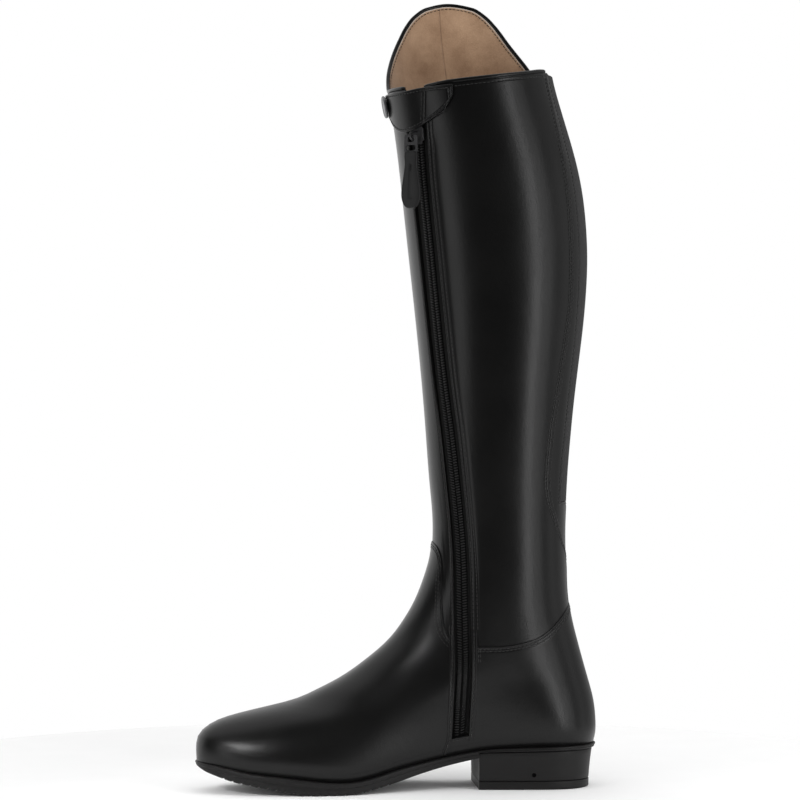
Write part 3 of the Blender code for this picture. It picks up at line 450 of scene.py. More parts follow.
class Book:
    # the nodes of one finish, or of the room around the boot

    def __init__(self, name, store=None, spot="Object"):
        self.material = (bpy.data.materials if store is None else store).new(name)
        self.material.use_nodes = True
        self.tree = self.material.node_tree
        self.tree.nodes.clear()
        self.spot = self.node("ShaderNodeTexCoord", output=spot)

    def node(self, kind, settings=None, sockets=None, output=0):
        node = self.tree.nodes.new(kind)
        for name, value in (settings or {}).items():
            setattr(node, name, value)
        for name, value in (sockets or {}).items():
            self.feed(node.inputs[name], value)
        return Wire(self, node.outputs[output]) if node.outputs else None

    def feed(self, socket, value):
        if isinstance(value, Wire):
            self.tree.links.new(value.socket, socket)
        else:
            socket.default_value = value

    def maths(self, operation, first, second=0.0):
        return self.node("ShaderNodeMath", {"operation": operation}, {0: first, 1: second})

    def stretched(self, scale):
        return self.node("ShaderNodeVectorMath", {"operation": "MULTIPLY"},
                         {0: self.spot, 1: scale})

    def axis(self, name):
        return self.node("ShaderNodeSeparateXYZ", {}, {0: self.spot}, output=name)

    def noise(self, scale, detail=2.0, rough=0.5, where=None):
        return self.node("ShaderNodeTexNoise", {}, {
            "Vector": where or self.spot, "Scale": scale, "Detail": detail, "Roughness": rough})

    def cells(self, scale, where=None, feature="F1"):
        return self.node("ShaderNodeTexVoronoi", {"feature": feature}, {
            "Vector": where or self.spot, "Scale": scale}, output="Distance")

    def spread(self, value, low, high):
        return self.node("ShaderNodeMapRange", {"clamp": True},
                         {"Value": value, "From Min": low, "From Max": high})

    def slope(self, value, low, high):
        return self.node("ShaderNodeMapRange", {"interpolation_type": "SMOOTHSTEP"},
                         {"Value": value, "From Min": low, "From Max": high})

    def mix(self, share, first, second):
        return self.node("ShaderNodeMix", {"data_type": "RGBA"},
                         {0: share, 6: (*first, 1) if isinstance(first, tuple) else first,
                          7: (*second, 1) if isinstance(second, tuple) else second}, output=2)

    def bump(self, height, depth, strength=1.0, after=None):
        sockets = {"Height": height, "Distance": depth * mm, "Strength": strength}
        if after:
            sockets["Normal"] = after
        return self.node("ShaderNodeBump", {}, sockets)

    def finish(self, colour, roughness, normal, fixed=None):
        sockets = {"Base Color": colour, "Roughness": roughness, "Normal": normal}
        sockets.update(fixed or {})
        shader = self.node("ShaderNodeBsdfPrincipled", {}, sockets)
        self.node("ShaderNodeOutputMaterial", {}, {"Surface": shader})
        return self.material


leatherLook = {"dark": (0.0022, 0.0022, 0.0023), "light": (0.0042, 0.0041, 0.004),
               "grain": 1150.0, "grainDeep": 0.05, "gloss": 0.32, "glossSpread": 0.08}


def makeLeather():
    book = Book("smooth_calf_leather")
    warp = book.noise(420.0, 2.0)
    pores = book.cells(leatherLook["grain"])
    creases = book.cells(leatherLook["grain"] * 0.55, feature="DISTANCE_TO_EDGE")
    clouds = book.noise(28.0, 3.0)
    fine = book.noise(2600.0, 2.0)
    grain = pores * -0.6 + book.spread(creases, 0.0, 0.25) * 0.5 + fine * 0.35
    soft = book.bump(book.noise(75.0, 2.0), 0.5, 0.16)
    waves = book.bump(warp, 0.06, 0.5, soft)
    normal = book.bump(grain, leatherLook["grainDeep"], 0.5, waves)
    colour = book.mix(clouds, leatherLook["dark"], leatherLook["light"])
    rough = clouds * leatherLook["glossSpread"] + fine * 0.08 + (leatherLook["gloss"] - 0.09)
    return book.finish(colour, rough, normal, {
        "Specular IOR Level": 0.3})


def makeSuede():
    book = Book("tan_lining_suede")
    nap = book.noise(1500.0, 4.0, 0.65)
    clouds = book.noise(42.0, 4.0, 0.62)
    normal = book.bump(nap + book.cells(900.0) * 0.6, 0.22, 0.7)
    shades = book.spread(clouds * 0.75 + nap * 0.3, 0.28, 0.78)
    colour = book.mix(shades, (0.17, 0.093, 0.05), (0.4, 0.262, 0.165))
    return book.finish(colour, 0.86 + nap * 0.1, normal, {
        "Specular IOR Level": 0.2, "Sheen Weight": 0.25, "Sheen Roughness": 0.5})


def makeCloth(name, dark, light, threadsUp, threadsOver, deep, rough, shine, fuzz):
    # two sets of threads that cross
    book = Book(name)
    up = book.maths("SINE", book.axis("Z") * (2000 * math.pi / threadsUp))
    ground = book.axis("X") * 0.62 + book.axis("Y")
    over = book.maths("SINE", ground * (2000 * math.pi / threadsOver))
    weaving = up * over
    lint = book.noise(1900.0, 3.0, 0.6)
    height = weaving * 0.5 + 0.5 + lint * 0.5
    # colour follows the height: thread tops lighter and the dips between threads darker, painted
    # shade in the weave's hollows, with random lint
    colour = book.mix(book.spread(height, 0.1, 1.25), dark, light)
    return book.finish(colour, rough - 0.1 + lint * 0.2, book.bump(height, deep, 0.8), {
        "Specular IOR Level": shine, "Sheen Weight": fuzz})


def makeRubber(name, dark, light, rough, deep, shine=0.42):
    book = Book(name)
    dust = book.noise(900.0, 4.0, 0.62)
    clouds = book.noise(45.0, 3.0)
    pits = book.cells(1500.0)
    colour = book.mix(clouds * 0.55 + dust * 0.45, dark, light)
    normal = book.bump(dust + pits * 0.4, deep, 0.7)
    return book.finish(colour, rough - 0.07 + dust * 0.16, normal, {"Specular IOR Level": shine})


def makeGloss(name, dark, light, rough, metallic=0.0, deep=0.02, scale=1200.0, shine=0.5):
    book = Book(name)
    brushed = book.noise(scale, 3.0, where=book.stretched((1.0, 1.0, 0.25)))
    clouds = book.noise(160.0, 3.0)
    colour = book.mix(clouds * 0.5 + brushed * 0.5, dark, light)
    return book.finish(colour, rough - 0.06 + brushed * 0.14, book.bump(brushed, deep, 0.5), {
        "Metallic": metallic, "Specular IOR Level": shine})


def makeThread():
    book = Book("waxed_thread")
    diagonal = book.axis("Z") + book.axis("Y") + book.axis("X")
    twist = book.maths("SINE", diagonal * (2000 * math.pi / 0.55))
    lint = book.noise(2400.0, 2.0)
    colour = book.mix(twist * 0.3 + lint * 0.7, (0.008, 0.008, 0.008), (0.024, 0.0235, 0.023))
    return book.finish(colour, 0.42 + lint * 0.12, book.bump(twist + lint, 0.05, 0.6))


leather = makeLeather()
suede = makeSuede()
thread = makeThread()
elasticCloth = makeCloth("ribbed_elastic_cloth", (0.006, 0.006, 0.0062), (0.026, 0.0255, 0.026),
                         0.62, 0.9, 0.12, 0.75, 0.22, 0.05)
# the zip tape is black, and its black is deepened further so the slot under the leather edges
# reads dark: partly painted shade
weave = makeCloth("zip_tape_weave", (0.002, 0.002, 0.002), (0.0095, 0.0095, 0.0095), 0.8, 0.7,
                  0.14, 0.8, 0.12, 0.02)
# the coil's base cloth is its own black, made near black so the gaps between the teeth read dark:
# partly painted shade
coilCloth = makeCloth("coil_cord_cloth", (0.0012, 0.0012, 0.0012), (0.004, 0.004, 0.004), 0.6,
                      0.6, 0.1, 0.8, 0.04, 0.0)
coilShine = makeGloss("coil_nylon", (0.003, 0.003, 0.003), (0.009, 0.009, 0.009), 0.34,
                      shine=0.34)
rubber = makeRubber("sole_rubber", (0.0032, 0.003, 0.003), (0.0075, 0.007, 0.007), 0.5, 0.05,
                    0.27)
# a paler grey for the heel's front face: a painted reflection of the bright room before the toe
breastPaintedSheen = makeRubber("heel_breast_painted_sheen", (0.05, 0.05, 0.05), (0.2, 0.2, 0.2), 0.8, 0.25)
plastic = makeGloss("pull_plastic", (0.006, 0.006, 0.0062), (0.013, 0.013, 0.0132), 0.46,
                    shine=0.32)
metal = makeGloss("gunmetal", (0.025, 0.025, 0.026), (0.065, 0.064, 0.066), 0.38, 0.85)
buttonMetal = makeGloss("snap_metal", (0.13, 0.13, 0.135), (0.26, 0.26, 0.265), 0.42, 0.85)
# a beige paler than the lining: a painted highlight along the lining's folded edge
paleEdgeHighlight = makeRubber("lining_edge_painted_highlight", (0.3, 0.24, 0.19), (0.55, 0.48, 0.42), 0.85, 0.05)
deepBlack = makeRubber("hole_shade", (0.0015, 0.0015, 0.0015), (0.003, 0.003, 0.003), 0.9, 0.02,
                       0.0)
print("the finishes are mixed")


def sweepPiece(name, rings, material, sharp=38, ends=True):
    # closed rings of points along a form, with flat ends
    rings = np.asarray(rings, float)
    count, sides = rings.shape[:2]
    faces = [gridFaces(np.ones((count - 1, sides), bool), sides, 0)]
    if ends:
        last = (count - 1) * sides
        faces += [np.arange(sides)[None, ::-1], (last + np.arange(sides))[None, :]]
    return makePiece(name, rings, faces, material, sharp)


def join(name, pieces):
    # several meshes as one piece
    points = []
    faces = []
    slots = []
    materials = []
    for piece in pieces:
        start = len(points)
        points += [piece.matrix_world @ vert.co for vert in piece.data.vertices]
        for face in piece.data.polygons:
            faces.append([start + index for index in face.vertices])
        for material in piece.data.materials:
            if material not in materials:
                materials.append(material)
        own = [materials.index(material) for material in piece.data.materials]
        slots += [own[face.material_index] for face in piece.data.polygons]
    for piece in pieces:
        bpy.data.objects.remove(piece)
    mesh = bpy.data.meshes.new(name)
    mesh.from_pydata(points, [], faces)
    for material in materials:
        mesh.materials.append(material)
    mesh.polygons.foreach_set("material_index", slots)
    mesh.shade_smooth()
    mesh.set_sharp_from_angle(angle=math.radians(38))
    whole = bpy.data.objects.new(name, mesh)
    bpy.context.scene.collection.objects.link(whole)
    return whole


def place(piece, body, *nodes, slot=None):
    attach(piece, body)
    if nodes:
        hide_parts(*nodes)


# ---- stitches: short threads that dip into the leather at both ends
threadSizes = {"pitch": 2.7, "share": 0.8, "radius": 0.27, "rise": 0.08}
threadProfile = ((-1.0, 0.0, -1.0), (-0.94, 0.55, -0.5), (-0.72, 0.95, -0.1), (0.0, 1.0, 0.1),
                 (0.72, 0.95, -0.1), (0.94, 0.55, -0.5), (1.0, 0.0, -1.0))


def capsules(name, middle, half, up, width, height, material, sides=6):
    # short rounded bars at many places, joined as one piece
    beside = unit(np.cross(unit(half), up))
    rings = []
    for along, reach, lift in threadProfile:
        for side in range(sides):
            angle = 2 * np.pi * side / sides
            rings.append(middle + along * half + width * reach * math.cos(angle) * beside
                         + height * (reach * math.sin(angle) + lift) * up)
    points = np.stack(rings, 1)
    cell = gridFaces(np.ones((len(threadProfile) - 1, sides), bool), sides, 0)
    faces = cell[None] + (np.arange(len(middle)) * points.shape[1])[:, None, None]
    return makePiece(name, points, [faces.reshape(-1, 4)], material, 80)


def threads(name, runs, material, pitch=None, radius=None):
    # every run is a row of points and the leather's normals there
    pitch = pitch or threadSizes["pitch"]
    radius = radius or threadSizes["radius"]
    middles = []
    halves = []
    ups = []
    for path, normals in runs:
        steps = np.linalg.norm(np.diff(path, axis=0), axis=1)
        length = np.concatenate(([0.0], np.cumsum(steps)))
        marks = np.linspace(0, length[-1], max(int(length[-1] / pitch), 1) + 1)
        holes = np.stack([np.interp(marks, length, path[:, axis]) for axis in range(3)], -1)
        up = np.stack([np.interp(marks, length, normals[:, axis]) for axis in range(3)], -1)
        up = unit(up[1:] + up[:-1])
        middles.append((holes[1:] + holes[:-1]) / 2 + threadSizes["rise"] * up)
        halves.append((holes[1:] - holes[:-1]) / 2 * threadSizes["share"])
        ups.append(up)
    return capsules(name, np.concatenate(middles), np.concatenate(halves), np.concatenate(ups),
                    radius, radius, material)


# ---- shaft leather, foot leather, back panel and lining
leatherSizes = {
    "wall": 2.0,             # leather and lining together
    "leather": 1.35,         # the leather alone
    "footLift": 0.8,         # the foot leather lies this far over the shaft leather
    "panelDrop": 0.7,        # the back panel lies this far under it
    "slotLow": 11.4,         # where it starts over the sole
    "elasticLow": 192.0,     # lower end of the elastic
    "edge": 0.55,            # roundness of the cut edges
    "tuck": 6.0,             # a piece runs on under its neighbour by this much
    "frontRow": 1.2,         # stitches in front of the slot, and in the band behind it
    "rearRows": (1.6, 4.3),
    "band": (5.3, 0.55),     # that band's width, and how far it sinks toward the zip
    "bandTop": (428, 438),   # it flattens out under the tab
    "grooveRows": (2.3, 4.0),
    "panelRow": 0.95,
    "seamRows": (1.9, 3.5),
    "collarRow": 1.9,
    "elasticRow": 1.5,
    "pinch": 0.2,            # how deep the rows draw the leather in
}
edgeSteps = (0, 0.08, 0.2, 0.36, 0.56, 0.85, 1.2, 1.6, 1.95, 2.3, 2.65, 3.0, 3.4, 4.0, 4.4, 4.8,
             5.1, 5.3, 5.5, 6.1)
far = 99.0


def grooveTurn(rise, shift=0.0):
    # the groove beside the back panel; the two sides meet below it
    middle = backLines.at(ringHeight(rise, 0.0), "groove")
    middle = 1 - (1 - middle) * ease(rise, 146, 166)
    return np.minimum(middle + turnFor(rise, shift, middle), 1.0)


def slotLine(side, beyond=0.0):
    return lambda rise: slotTurn(rise, side, beyond)


def besideSlot():
    # lines beside the zip's opening, away from it on the front side and on the rear side
    return ([slotLine(-1, d) for d in reversed(edgeSteps)], [slotLine(1, d) for d in edgeSteps])


def inSlot(count):
    return fill(slotLine(-1), slotLine(1), count)[1:]


def mirrored(lines):
    return [lambda rise, line=line: -line(rise) for line in lines]


def turnsOn(lines, rises):
    return np.stack([line(rises[:, column]) for column, line in enumerate(lines)], -1)


def shaftColumns():
    # from the outer groove over the front to the inner groove, with each column's distances
    reach = edgeSteps[-1]
    outerGroove = mirrored([lambda rise, d=d: grooveTurn(rise, -d) for d in edgeSteps])
    grooveSide = lambda rise: grooveTurn(rise, -reach)
    lines = outerGroove[:-1] + fill(outerGroove[-1], lambda rise: 0.0 * rise, 52)
    lines += fill(lambda rise: 0.0 * rise, slotLine(-1, reach), 24)
    grooves = list(edgeSteps) + [far] * (51 + 24)
    zips = [far] * len(grooves)
    slot = len(lines) + len(edgeSteps) - 1
    frontEdge, rearEdge = besideSlot()
    lines += frontEdge + rearEdge
    zips += [-d for d in reversed(edgeSteps)] + list(edgeSteps)
    grooves += [far] * (2 * len(edgeSteps))
    lines += fill(slotLine(1, reach), grooveSide, 26)[1:]
    zips += [far] * (25 + len(edgeSteps))
    grooves += [far] * 25 + [d for d in reversed(edgeSteps)]
    lines += [lambda rise, d=d: grooveTurn(rise, -d) for d in reversed(edgeSteps)]
    return lines, np.array(zips), np.array(grooves), slot


def edgeRises(line, heightOf):
    # rows beside an edge at the height that it has on this line
    edge = riseOn(line, heightOf)
    slant = slantOf(line, edge, heightOf)
    return edge, slant


def bandLift(rises, behind):
    # the leather sinks toward the zip in a band behind it, which starts at a crease
    width, depth = leatherSizes["band"]
    sunk = depth * np.clip(1 - behind / width, 0, 1) * (behind >= 0)
    crease = leatherSizes["pinch"] * np.exp(-((behind - width) / 0.3) ** 2)
    return -(sunk + crease) * (1 - ease(rises, *leatherSizes["bandTop"]))


def makeShaft():
    lines, zips, grooves, slot = shaftColumns()
    rises = []
    tops = []
    shares = np.linspace(0, 1, 112)
    for line in lines:
        low = riseOn(line, seamHeight) - leatherSizes["tuck"]
        high, slant = edgeRises(line, topHeight)
        near = high - slant * np.array(edgeSteps[::-1])
        rises.append(np.concatenate((low + shares[:-1] * (near[0] - low), near)))
        tops.append(np.concatenate((np.full(len(shares) - 1, far), edgeSteps[::-1])))
    rises = np.array(rises).T
    tops = np.array(tops).T
    turns = turnsOn(lines, rises)
    edge = leatherSizes["edge"]
    lift = -rounded(np.abs(zips), edge) - rounded(grooves, edge) - rounded(tops, edge)
    lift = lift + bandLift(rises, zips)
    lift = lift - pinched(-zips, (leatherSizes["frontRow"],), leatherSizes["pinch"])
    lift = lift - pinched(zips, leatherSizes["rearRows"], leatherSizes["pinch"])
    lift = lift - pinched(grooves, leatherSizes["grooveRows"], leatherSizes["pinch"])
    lift = lift - pinched(tops, (leatherSizes["collarRow"],), leatherSizes["pinch"])
    under = np.where(grooves < 4.5, 0.02 - leatherSizes["panelDrop"], -leatherSizes["leather"])
    outer = skin(rises, turns, lift)
    inner = skin(rises, turns, under)
    cells = np.ones((outer.shape[0] - 1, outer.shape[1] - 1), bool)
    cells[:, slot] = False
    piece = wall("shaft_leather", outer, inner, leather, cells)
    place(piece, "boot", "upper", slot="black_leather")


def ringColumns(beside):
    # closed around the foot from the front over the inner side, with distances from the zip
    reach = edgeSteps[-1]
    inside = inSlot(6)
    zero = lambda rise: 0.0 * rise
    back = lambda rise: 1.0 + 0.0 * rise
    front = fill(zero, slotLine(-1, reach), 34)
    frontEdge, rearEdge = besideSlot()
    rear = fill(slotLine(1, reach), back, 42)[1:]
    outer = fill(lambda rise: -1.0 + 0.0 * rise, zero, beside)
    lines = front + frontEdge + inside + rearEdge + rear + outer
    away = ([far] * len(front) + [*reversed(edgeSteps)] + [0.0] * len(inside) + [*edgeSteps]
            + [far] * (len(rear) + len(outer)))
    slot = len(front) + len(edgeSteps) - 1
    return lines, np.array(away), slot


def makeFoot():
    lines, beside, slot = ringColumns(84)
    slotLow = leatherSizes["slotLow"]
    steps = np.array(edgeSteps)
    low = np.concatenate(([0, 0.8, 1.8, 3.0, 4.4, 5.8], slotLow - steps[::-1]))
    rises = []
    seams = []
    shares = np.linspace(0, 1, 36)
    for line in lines:
        seam, slant = edgeRises(line, seamHeight)
        near = seam - slant * steps[::-1]
        rises.append(np.concatenate((low, slotLow + shares[1:-1] * (near[0] - slotLow), near)))
        seams.append(np.concatenate((np.full(len(low) + len(shares) - 2, far), steps[::-1])))
    rises = np.array(rises).T
    seams = np.array(seams).T
    turns = turnsOn(lines, rises)
    fromSlot = np.hypot(beside, np.maximum(slotLow - rises, 0))
    edge = leatherSizes["edge"]
    lift = leatherSizes["footLift"] - rounded(fromSlot, edge) - rounded(seams, edge)
    lift = lift - pinched(seams, leatherSizes["seamRows"], leatherSizes["pinch"] * 1.4)
    under = np.where(seams < 99, 0.02, -leatherSizes["leather"])
    outer = skin(rises, turns, lift)
    inner = skin(rises, turns, under)
    cells = np.ones((outer.shape[0] - 1, outer.shape[1]), bool)
    cells[len(low) - 1:, slot:slot + 6] = False
    piece = wall("foot_leather", outer, inner, leather, cells, closed=True)
    place(piece, "boot", "upper", slot="black_leather")


def liningColumns():
    # like the foot's ring, with lines along the elastic's edges
    zero = lambda rise: 0.0 * rise
    back = lambda rise: 1.0 + 0.0 * rise
    elastic = lambda rise: backTurn(rise, "elastic")
    seam = [lambda rise, d=d: liningSeam() + turnFor(rise, d, liningSeam())
            for d in (-1.6, -0.9, -0.5, -0.25, 0.0, 0.25, 0.5, 0.9, 1.6)]
    slot = 16
    lines = fill(zero, slotLine(-1), slot) + [slotLine(-1)] + inSlot(6)
    lines += fill(slotLine(1), elastic, 18)
    window = len(lines)
    behind = fill(elastic, back, 8) + [back]
    outer = fill(zero, seam[0], 20) + seam + fill(seam[-1], elastic, 24)[1:] + [elastic]
    lines += behind + mirrored(behind[-2:0:-1]) + mirrored(outer[:0:-1])
    return lines, slot, window, len(behind) * 2 - 2


def liningSeam():
    return turnAt(500.0, liningSizes["seam"])


def makeLining():
    lines, slot, window, reach = liningColumns()
    slotLow = leatherSizes["slotLow"]
    low = leatherSizes["elasticLow"]
    rises = []
    for line in lines:
        high = riseOn(line, topHeight)
        rises.append(np.concatenate((
            [0, 2, 4.5, 8], slotLow + np.linspace(0, 1, 58)[:-1] * (low - slotLow),
            low + np.linspace(0, 1, 90) * (high - low))))
    rises = np.array(rises).T
    turns = turnsOn(lines, rises)
    fromSeam = np.abs(turns + liningSeam()) / turnFor(500.0, 1.0, liningSeam())
    inner = -leatherSizes["wall"] - 0.3 * np.exp(-(fromSeam / 1.2) ** 2) + 0.55 * np.exp(
        -(fromSeam / 0.3) ** 2)
    cells = np.ones((rises.shape[0] - 1, rises.shape[1]), bool)
    cells[4:, slot:slot + 6] = False
    cells[4 + 57:, window:window + reach] = False
    outer = skin(rises, turns, -leatherSizes["leather"] - 0.03)
    piece = wall("shaft_lining", outer, skin(rises, turns, inner), suede, cells, closed=True)
    piece.data.materials.append(leather)
    for face in piece.data.polygons:
        middle = face.center / mm
        fromZip = abs(middle.y - zipLine.at(middle.z, "along"))
        if middle.x > 0 and fromZip < liningSizes["facing"]:
            face.material_index = 1
    place(piece, "boot", "upper", slot="tan_lining")


def panelColumns():
    elasticEdge = lambda rise: np.maximum(backTurn(rise, "elastic"), grooveTurn(rise, 0.6))
    back = lambda rise: 1.0 + 0.0 * rise
    groove = [-3.0, -0.3, 0.1, 0.45, 0.8, 1.2, 1.6]
    lines = [lambda rise, d=d: grooveTurn(rise, d) for d in groove]
    edges = edgeSteps[:9][::-1]
    first = lines[-1]
    last = lambda rise: np.maximum(elasticEdge(rise) - turnFor(rise, edges[0], 0.8), first(rise))
    lines += fill(first, last, 5)[1:]
    lines += [lambda rise, d=d: np.maximum(elasticEdge(rise) - turnFor(rise, d, 0.8), first(rise))
              for d in edges]
    fromEdge = [far] * (len(lines) - len(edges)) + list(edges)
    window = len(lines) - 1
    lines += fill(elasticEdge, back, 12)[1:] + [back]
    fromEdge += [0.0] * 12
    other = [lambda rise, line=line: 2 - line(rise) for line in lines[-2::-1]]
    return lines + other, np.array(fromEdge + fromEdge[-2::-1]), window


def makePanel():
    lines, fromEdge, window = panelColumns()
    low = leatherSizes["elasticLow"]
    near = low - np.array(edgeSteps[:9][::-1])
    rises = []
    for line in lines:
        bottom = riseOn(line, seamHeight) - leatherSizes["tuck"]
        top = riseOn(line, topHeight)
        rises.append(np.concatenate((
            bottom + np.linspace(0, 1, 30)[:-1] * (near[0] - bottom), near,
            low + np.linspace(0, 1, 90)[1:] * (top - low))))
    rises = np.array(rises).T
    turns = turnsOn(lines, rises)
    distance = np.hypot(fromEdge, np.maximum(low - rises, 0))
    lift = -leatherSizes["panelDrop"] - rounded(distance, 0.4)
    lift = lift - pinched(distance, (leatherSizes["elasticRow"],), 0.12)
    outer = skin(rises, turns, lift)
    inner = skin(rises, turns, -leatherSizes["leather"] - 0.02)
    cells = np.ones((outer.shape[0] - 1, outer.shape[1] - 1), bool)
    cells[37:, window:-window] = False
    piece = wall("back_panel", outer, inner, leather, cells)
    place(piece, "boot", "upper", slot="black_leather")


liningSizes = {
    "seam": -53.0,           # its upright seam inside the outer wall, along the foot
    "facing": 17.0,          # black leather beside the zip
}


# ---- zip, its tape, teeth, slider and pull
zipSizes = {
    "tapeWidth": 25.4,
    "tapeFace": -2.6,        # under the shaft leather's face
    "tapeThick": 0.8,
    "coilHalf": 3.75,
    "toothPitch": 1.8,
    "toothHalf": 1.62,       # half the length of a tooth
    "toothRadius": 0.54,
    "toothPlace": 2.05,      # its middle from the teeth's line
    "toothTop": -0.85,
    "toothTilt": 0.42,       # the teeth fall toward the middle
    "tapeShort": 2.0,
}


def zipRises(low, line, short, count):
    top = riseOn(line, topHeight) - short
    return low + np.linspace(0, 1, count) * (top - low)


def makeTape():
    half = zipSizes["tapeWidth"] / 2
    lines = [lambda rise, width=width: zipTurn(rise, width)
             for width in np.linspace(-half, half, 27)]
    low = leatherSizes["slotLow"] - 3.5
    rises = np.stack([zipRises(low, line, zipSizes["tapeShort"], 150) for line in lines], -1)
    turns = turnsOn(lines, rises)
    face = zipSizes["tapeFace"]
    piece = wall("zip_woven_tape", skin(rises, turns, face),
                 skin(rises, turns, face - zipSizes["tapeThick"]), weave)
    place(piece, "boot", "zip_tape", slot="black_tape")


def makeTeeth():
    half = zipSizes["coilHalf"]
    low = leatherSizes["slotLow"] + 0.4
    high = 453.0
    lines = [lambda rise, width=width: zipTurn(rise, zipSlot.at(rise, "teeth") + width)
             for width in np.linspace(-half, half, 9)]
    rises = np.stack([np.linspace(low, high, 150)] * len(lines), -1)
    turns = turnsOn(lines, rises)
    bulge = 0.35 * np.cos(np.linspace(-1.3, 1.3, 9))
    base = wall("zip_coil_base", skin(rises, turns, -1.95 + bulge),
                skin(rises, turns, zipSizes["tapeFace"] + 0.3), coilCloth)
    count = int((high - low - 2) / zipSizes["toothPitch"])
    rises = low + 1 + np.arange(count) * zipSizes["toothPitch"]
    middles = []
    halves = []
    ups = []
    for side, shift in ((-1, 0.0), (1, zipSizes["toothPitch"] / 2)):
        rise = rises + shift
        turn = zipTurn(rise, zipSlot.at(rise, "teeth") + side * zipSizes["toothPlace"])
        up = lastNormal(rise, turn)
        middle = skin(rise, turn, zipSizes["toothTop"] - zipSizes["toothRadius"] - 0.06)
        over = unit(lastPoint(rise, turn + 0.004) - lastPoint(rise, turn - 0.004))
        tall = unit(np.cross(up, over))
        middles.append(middle)
        halves.append(zipSizes["toothHalf"] * over - side * -zipSizes["toothTilt"] * tall)
        ups.append(up)
    teeth = capsules("zip_teeth", np.concatenate(middles), np.concatenate(halves),
                     np.concatenate(ups), zipSizes["toothRadius"], zipSizes["toothRadius"],
                     coilShine, 8)
    whole = join("zip_teeth_strip", [base, teeth])
    place(whole, "boot", "zip_coil", slot="black_coil")


def outlinePiece(name, outlines, thickness, rounding, material, matrix):
    # a flat piece from outlines in its own plane, with rounded edges
    curve = bpy.data.curves.new(name, "CURVE")
    curve.dimensions = "2D"
    curve.fill_mode = "BOTH"
    curve.extrude = (thickness / 2 - rounding) * mm
    curve.bevel_depth = rounding * mm
    curve.offset = -rounding * mm
    curve.bevel_resolution = 3
    for outline in outlines:
        line = curve.splines.new("POLY")
        line.points.add(len(outline) - 1)
        line.use_cyclic_u = True
        for knot, (x, y) in zip(line.points, outline):
            knot.co = (x * mm, y * mm, 0, 1)
    guide = bpy.data.objects.new(name, curve)
    bpy.context.scene.collection.objects.link(guide)
    bpy.context.view_layer.update()
    mesh = bpy.data.meshes.new_from_object(
        guide.evaluated_get(bpy.context.evaluated_depsgraph_get()))
    bpy.data.objects.remove(guide)
    mesh.transform(matrix)
    mesh.materials.clear()
    mesh.materials.append(material)
    mesh.shade_smooth()
    mesh.set_sharp_from_angle(angle=math.radians(38))
    piece = bpy.data.objects.new(name, mesh)
    bpy.context.scene.collection.objects.link(piece)
    return piece


def roundedBox(left, right, low, high, radius, steps=8):
    points = []
    for cornerX, cornerY, start in ((right, high, 0), (left, high, 90), (left, low, 180),
                                    (right, low, 270)):
        middleX = cornerX - math.copysign(radius, cornerX - (left + right) / 2)
        middleY = cornerY - math.copysign(radius, cornerY - (low + high) / 2)
        for step in range(steps + 1):
            angle = math.radians(start + 90 * step / steps)
            points.append((middleX + radius * math.cos(angle),
                           middleY + radius * math.sin(angle)))
    return points


sliderSizes = {
    "height": 437.0,         # of its middle on the zip's line
    "width": 11.4, "length": 12.0, "plate": 1.0,
    "leg": 3.6,              # from the plate to the pull's axis
    "bridge": 2.6, "wire": 0.75,
    "facing": -28.0,         # the pull faces this many degrees toward the toe
    "sidestep": 1.1,
}


def sliderFrame():
    rise = sliderSizes["height"]
    turn = zipTurn(rise)
    seat = skin(rise, turn, -0.5)
    out = lastNormal(rise, turn)
    half = sliderSizes["length"] / 2
    low, high = (lastPoint(end, zipTurn(end)) for end in (rise - half, rise + half))
    up = high - low
    up = unit(up - (up @ out) * out)
    return seat, np.cross(up, out), up, out


def frameMatrix(x, y, z, origin):
    matrix = Matrix((Vector(x), Vector(y), Vector(z))).transposed().to_4x4()
    matrix.translation = Vector(origin) * mm
    return matrix


def makeSlider():
    seat, across, up, out = sliderFrame()
    half = sliderSizes["width"] / 2
    long = sliderSizes["length"] / 2
    plate = sliderSizes["plate"]
    outline = [(half - 1.2, long), (half - 0.3, long - 0.5), (half, long - 1.6), (half, 1.5),
               (half - 0.55, -1.6), (half - 1.1, -long + 1.2), (half - 1.9, -long + 0.2),
               (half - 2.6, -long)]
    outline = [(-x, y) for x, y in outline] + outline[::-1]
    body = outlinePiece("slider_plate", [outline], plate, 0.35, metal,
                        frameMatrix(across, up, out, seat + plate / 2 * out))
    rails = []
    for side in (-1, 1):
        rail = roundedBox(side * (half - 0.62) - 0.6, side * (half - 0.62) + 0.6,
                          -long + 2.4, long - 1.6, 0.5)
        rails.append(outlinePiece(
            "slider_rail", [rail], 1.6, 0.3, metal,
            frameMatrix(across, up, out, seat - 0.4 * out)))
    angles = np.linspace(0, np.pi, 22)
    axis = plate + sliderSizes["leg"]
    reach = sliderSizes["bridge"]
    arch = [(reach, 0.3), (reach, axis * 0.5), (reach, axis - 0.4)]
    arch += [(reach * math.cos(angle), axis + reach * math.sin(angle)) for angle in angles]
    arch += [(-reach, axis - 0.4), (-reach, axis * 0.5), (-reach, 0.3)]
    centres = np.array([seat + along * up + high * out for along, high in arch])
    bridge = tubePiece("slider_bridge", centres, np.tile(across, (len(centres), 1)),
                       sliderSizes["wire"], metal)
    whole = join("zip_slider_metal", [body, *rails, bridge])
    place(whole, "boot", "zip_slider", slot="dark_metal")


pullSizes = {
    "frameWidth": 9.6, "frameThick": 1.2, "frameTop": 0.75, "frameBottom": 11.4,
    "eyeHalf": 2.0, "eyeLow": 4.2, "holeTop": 6.2, "holeLow": 9.9, "holeHalf": 3.3,
    "gripThick": 3.0,
    "groove": (17.5, 42.5), "grooveHalf": 0.75, "grooveDeep": 0.55,
}
gripShape = SizeTable(
    "drop half",
    (10.2, 3.5), (10.8, 4.3), (12, 4.7), (14.5, 4.7), (18, 4.4), (23, 4.8), (28, 5.6), (33, 6.4),
    (38, 6.9), (42, 6.6), (45, 5.6), (47, 4.2), (48.3, 2.5))


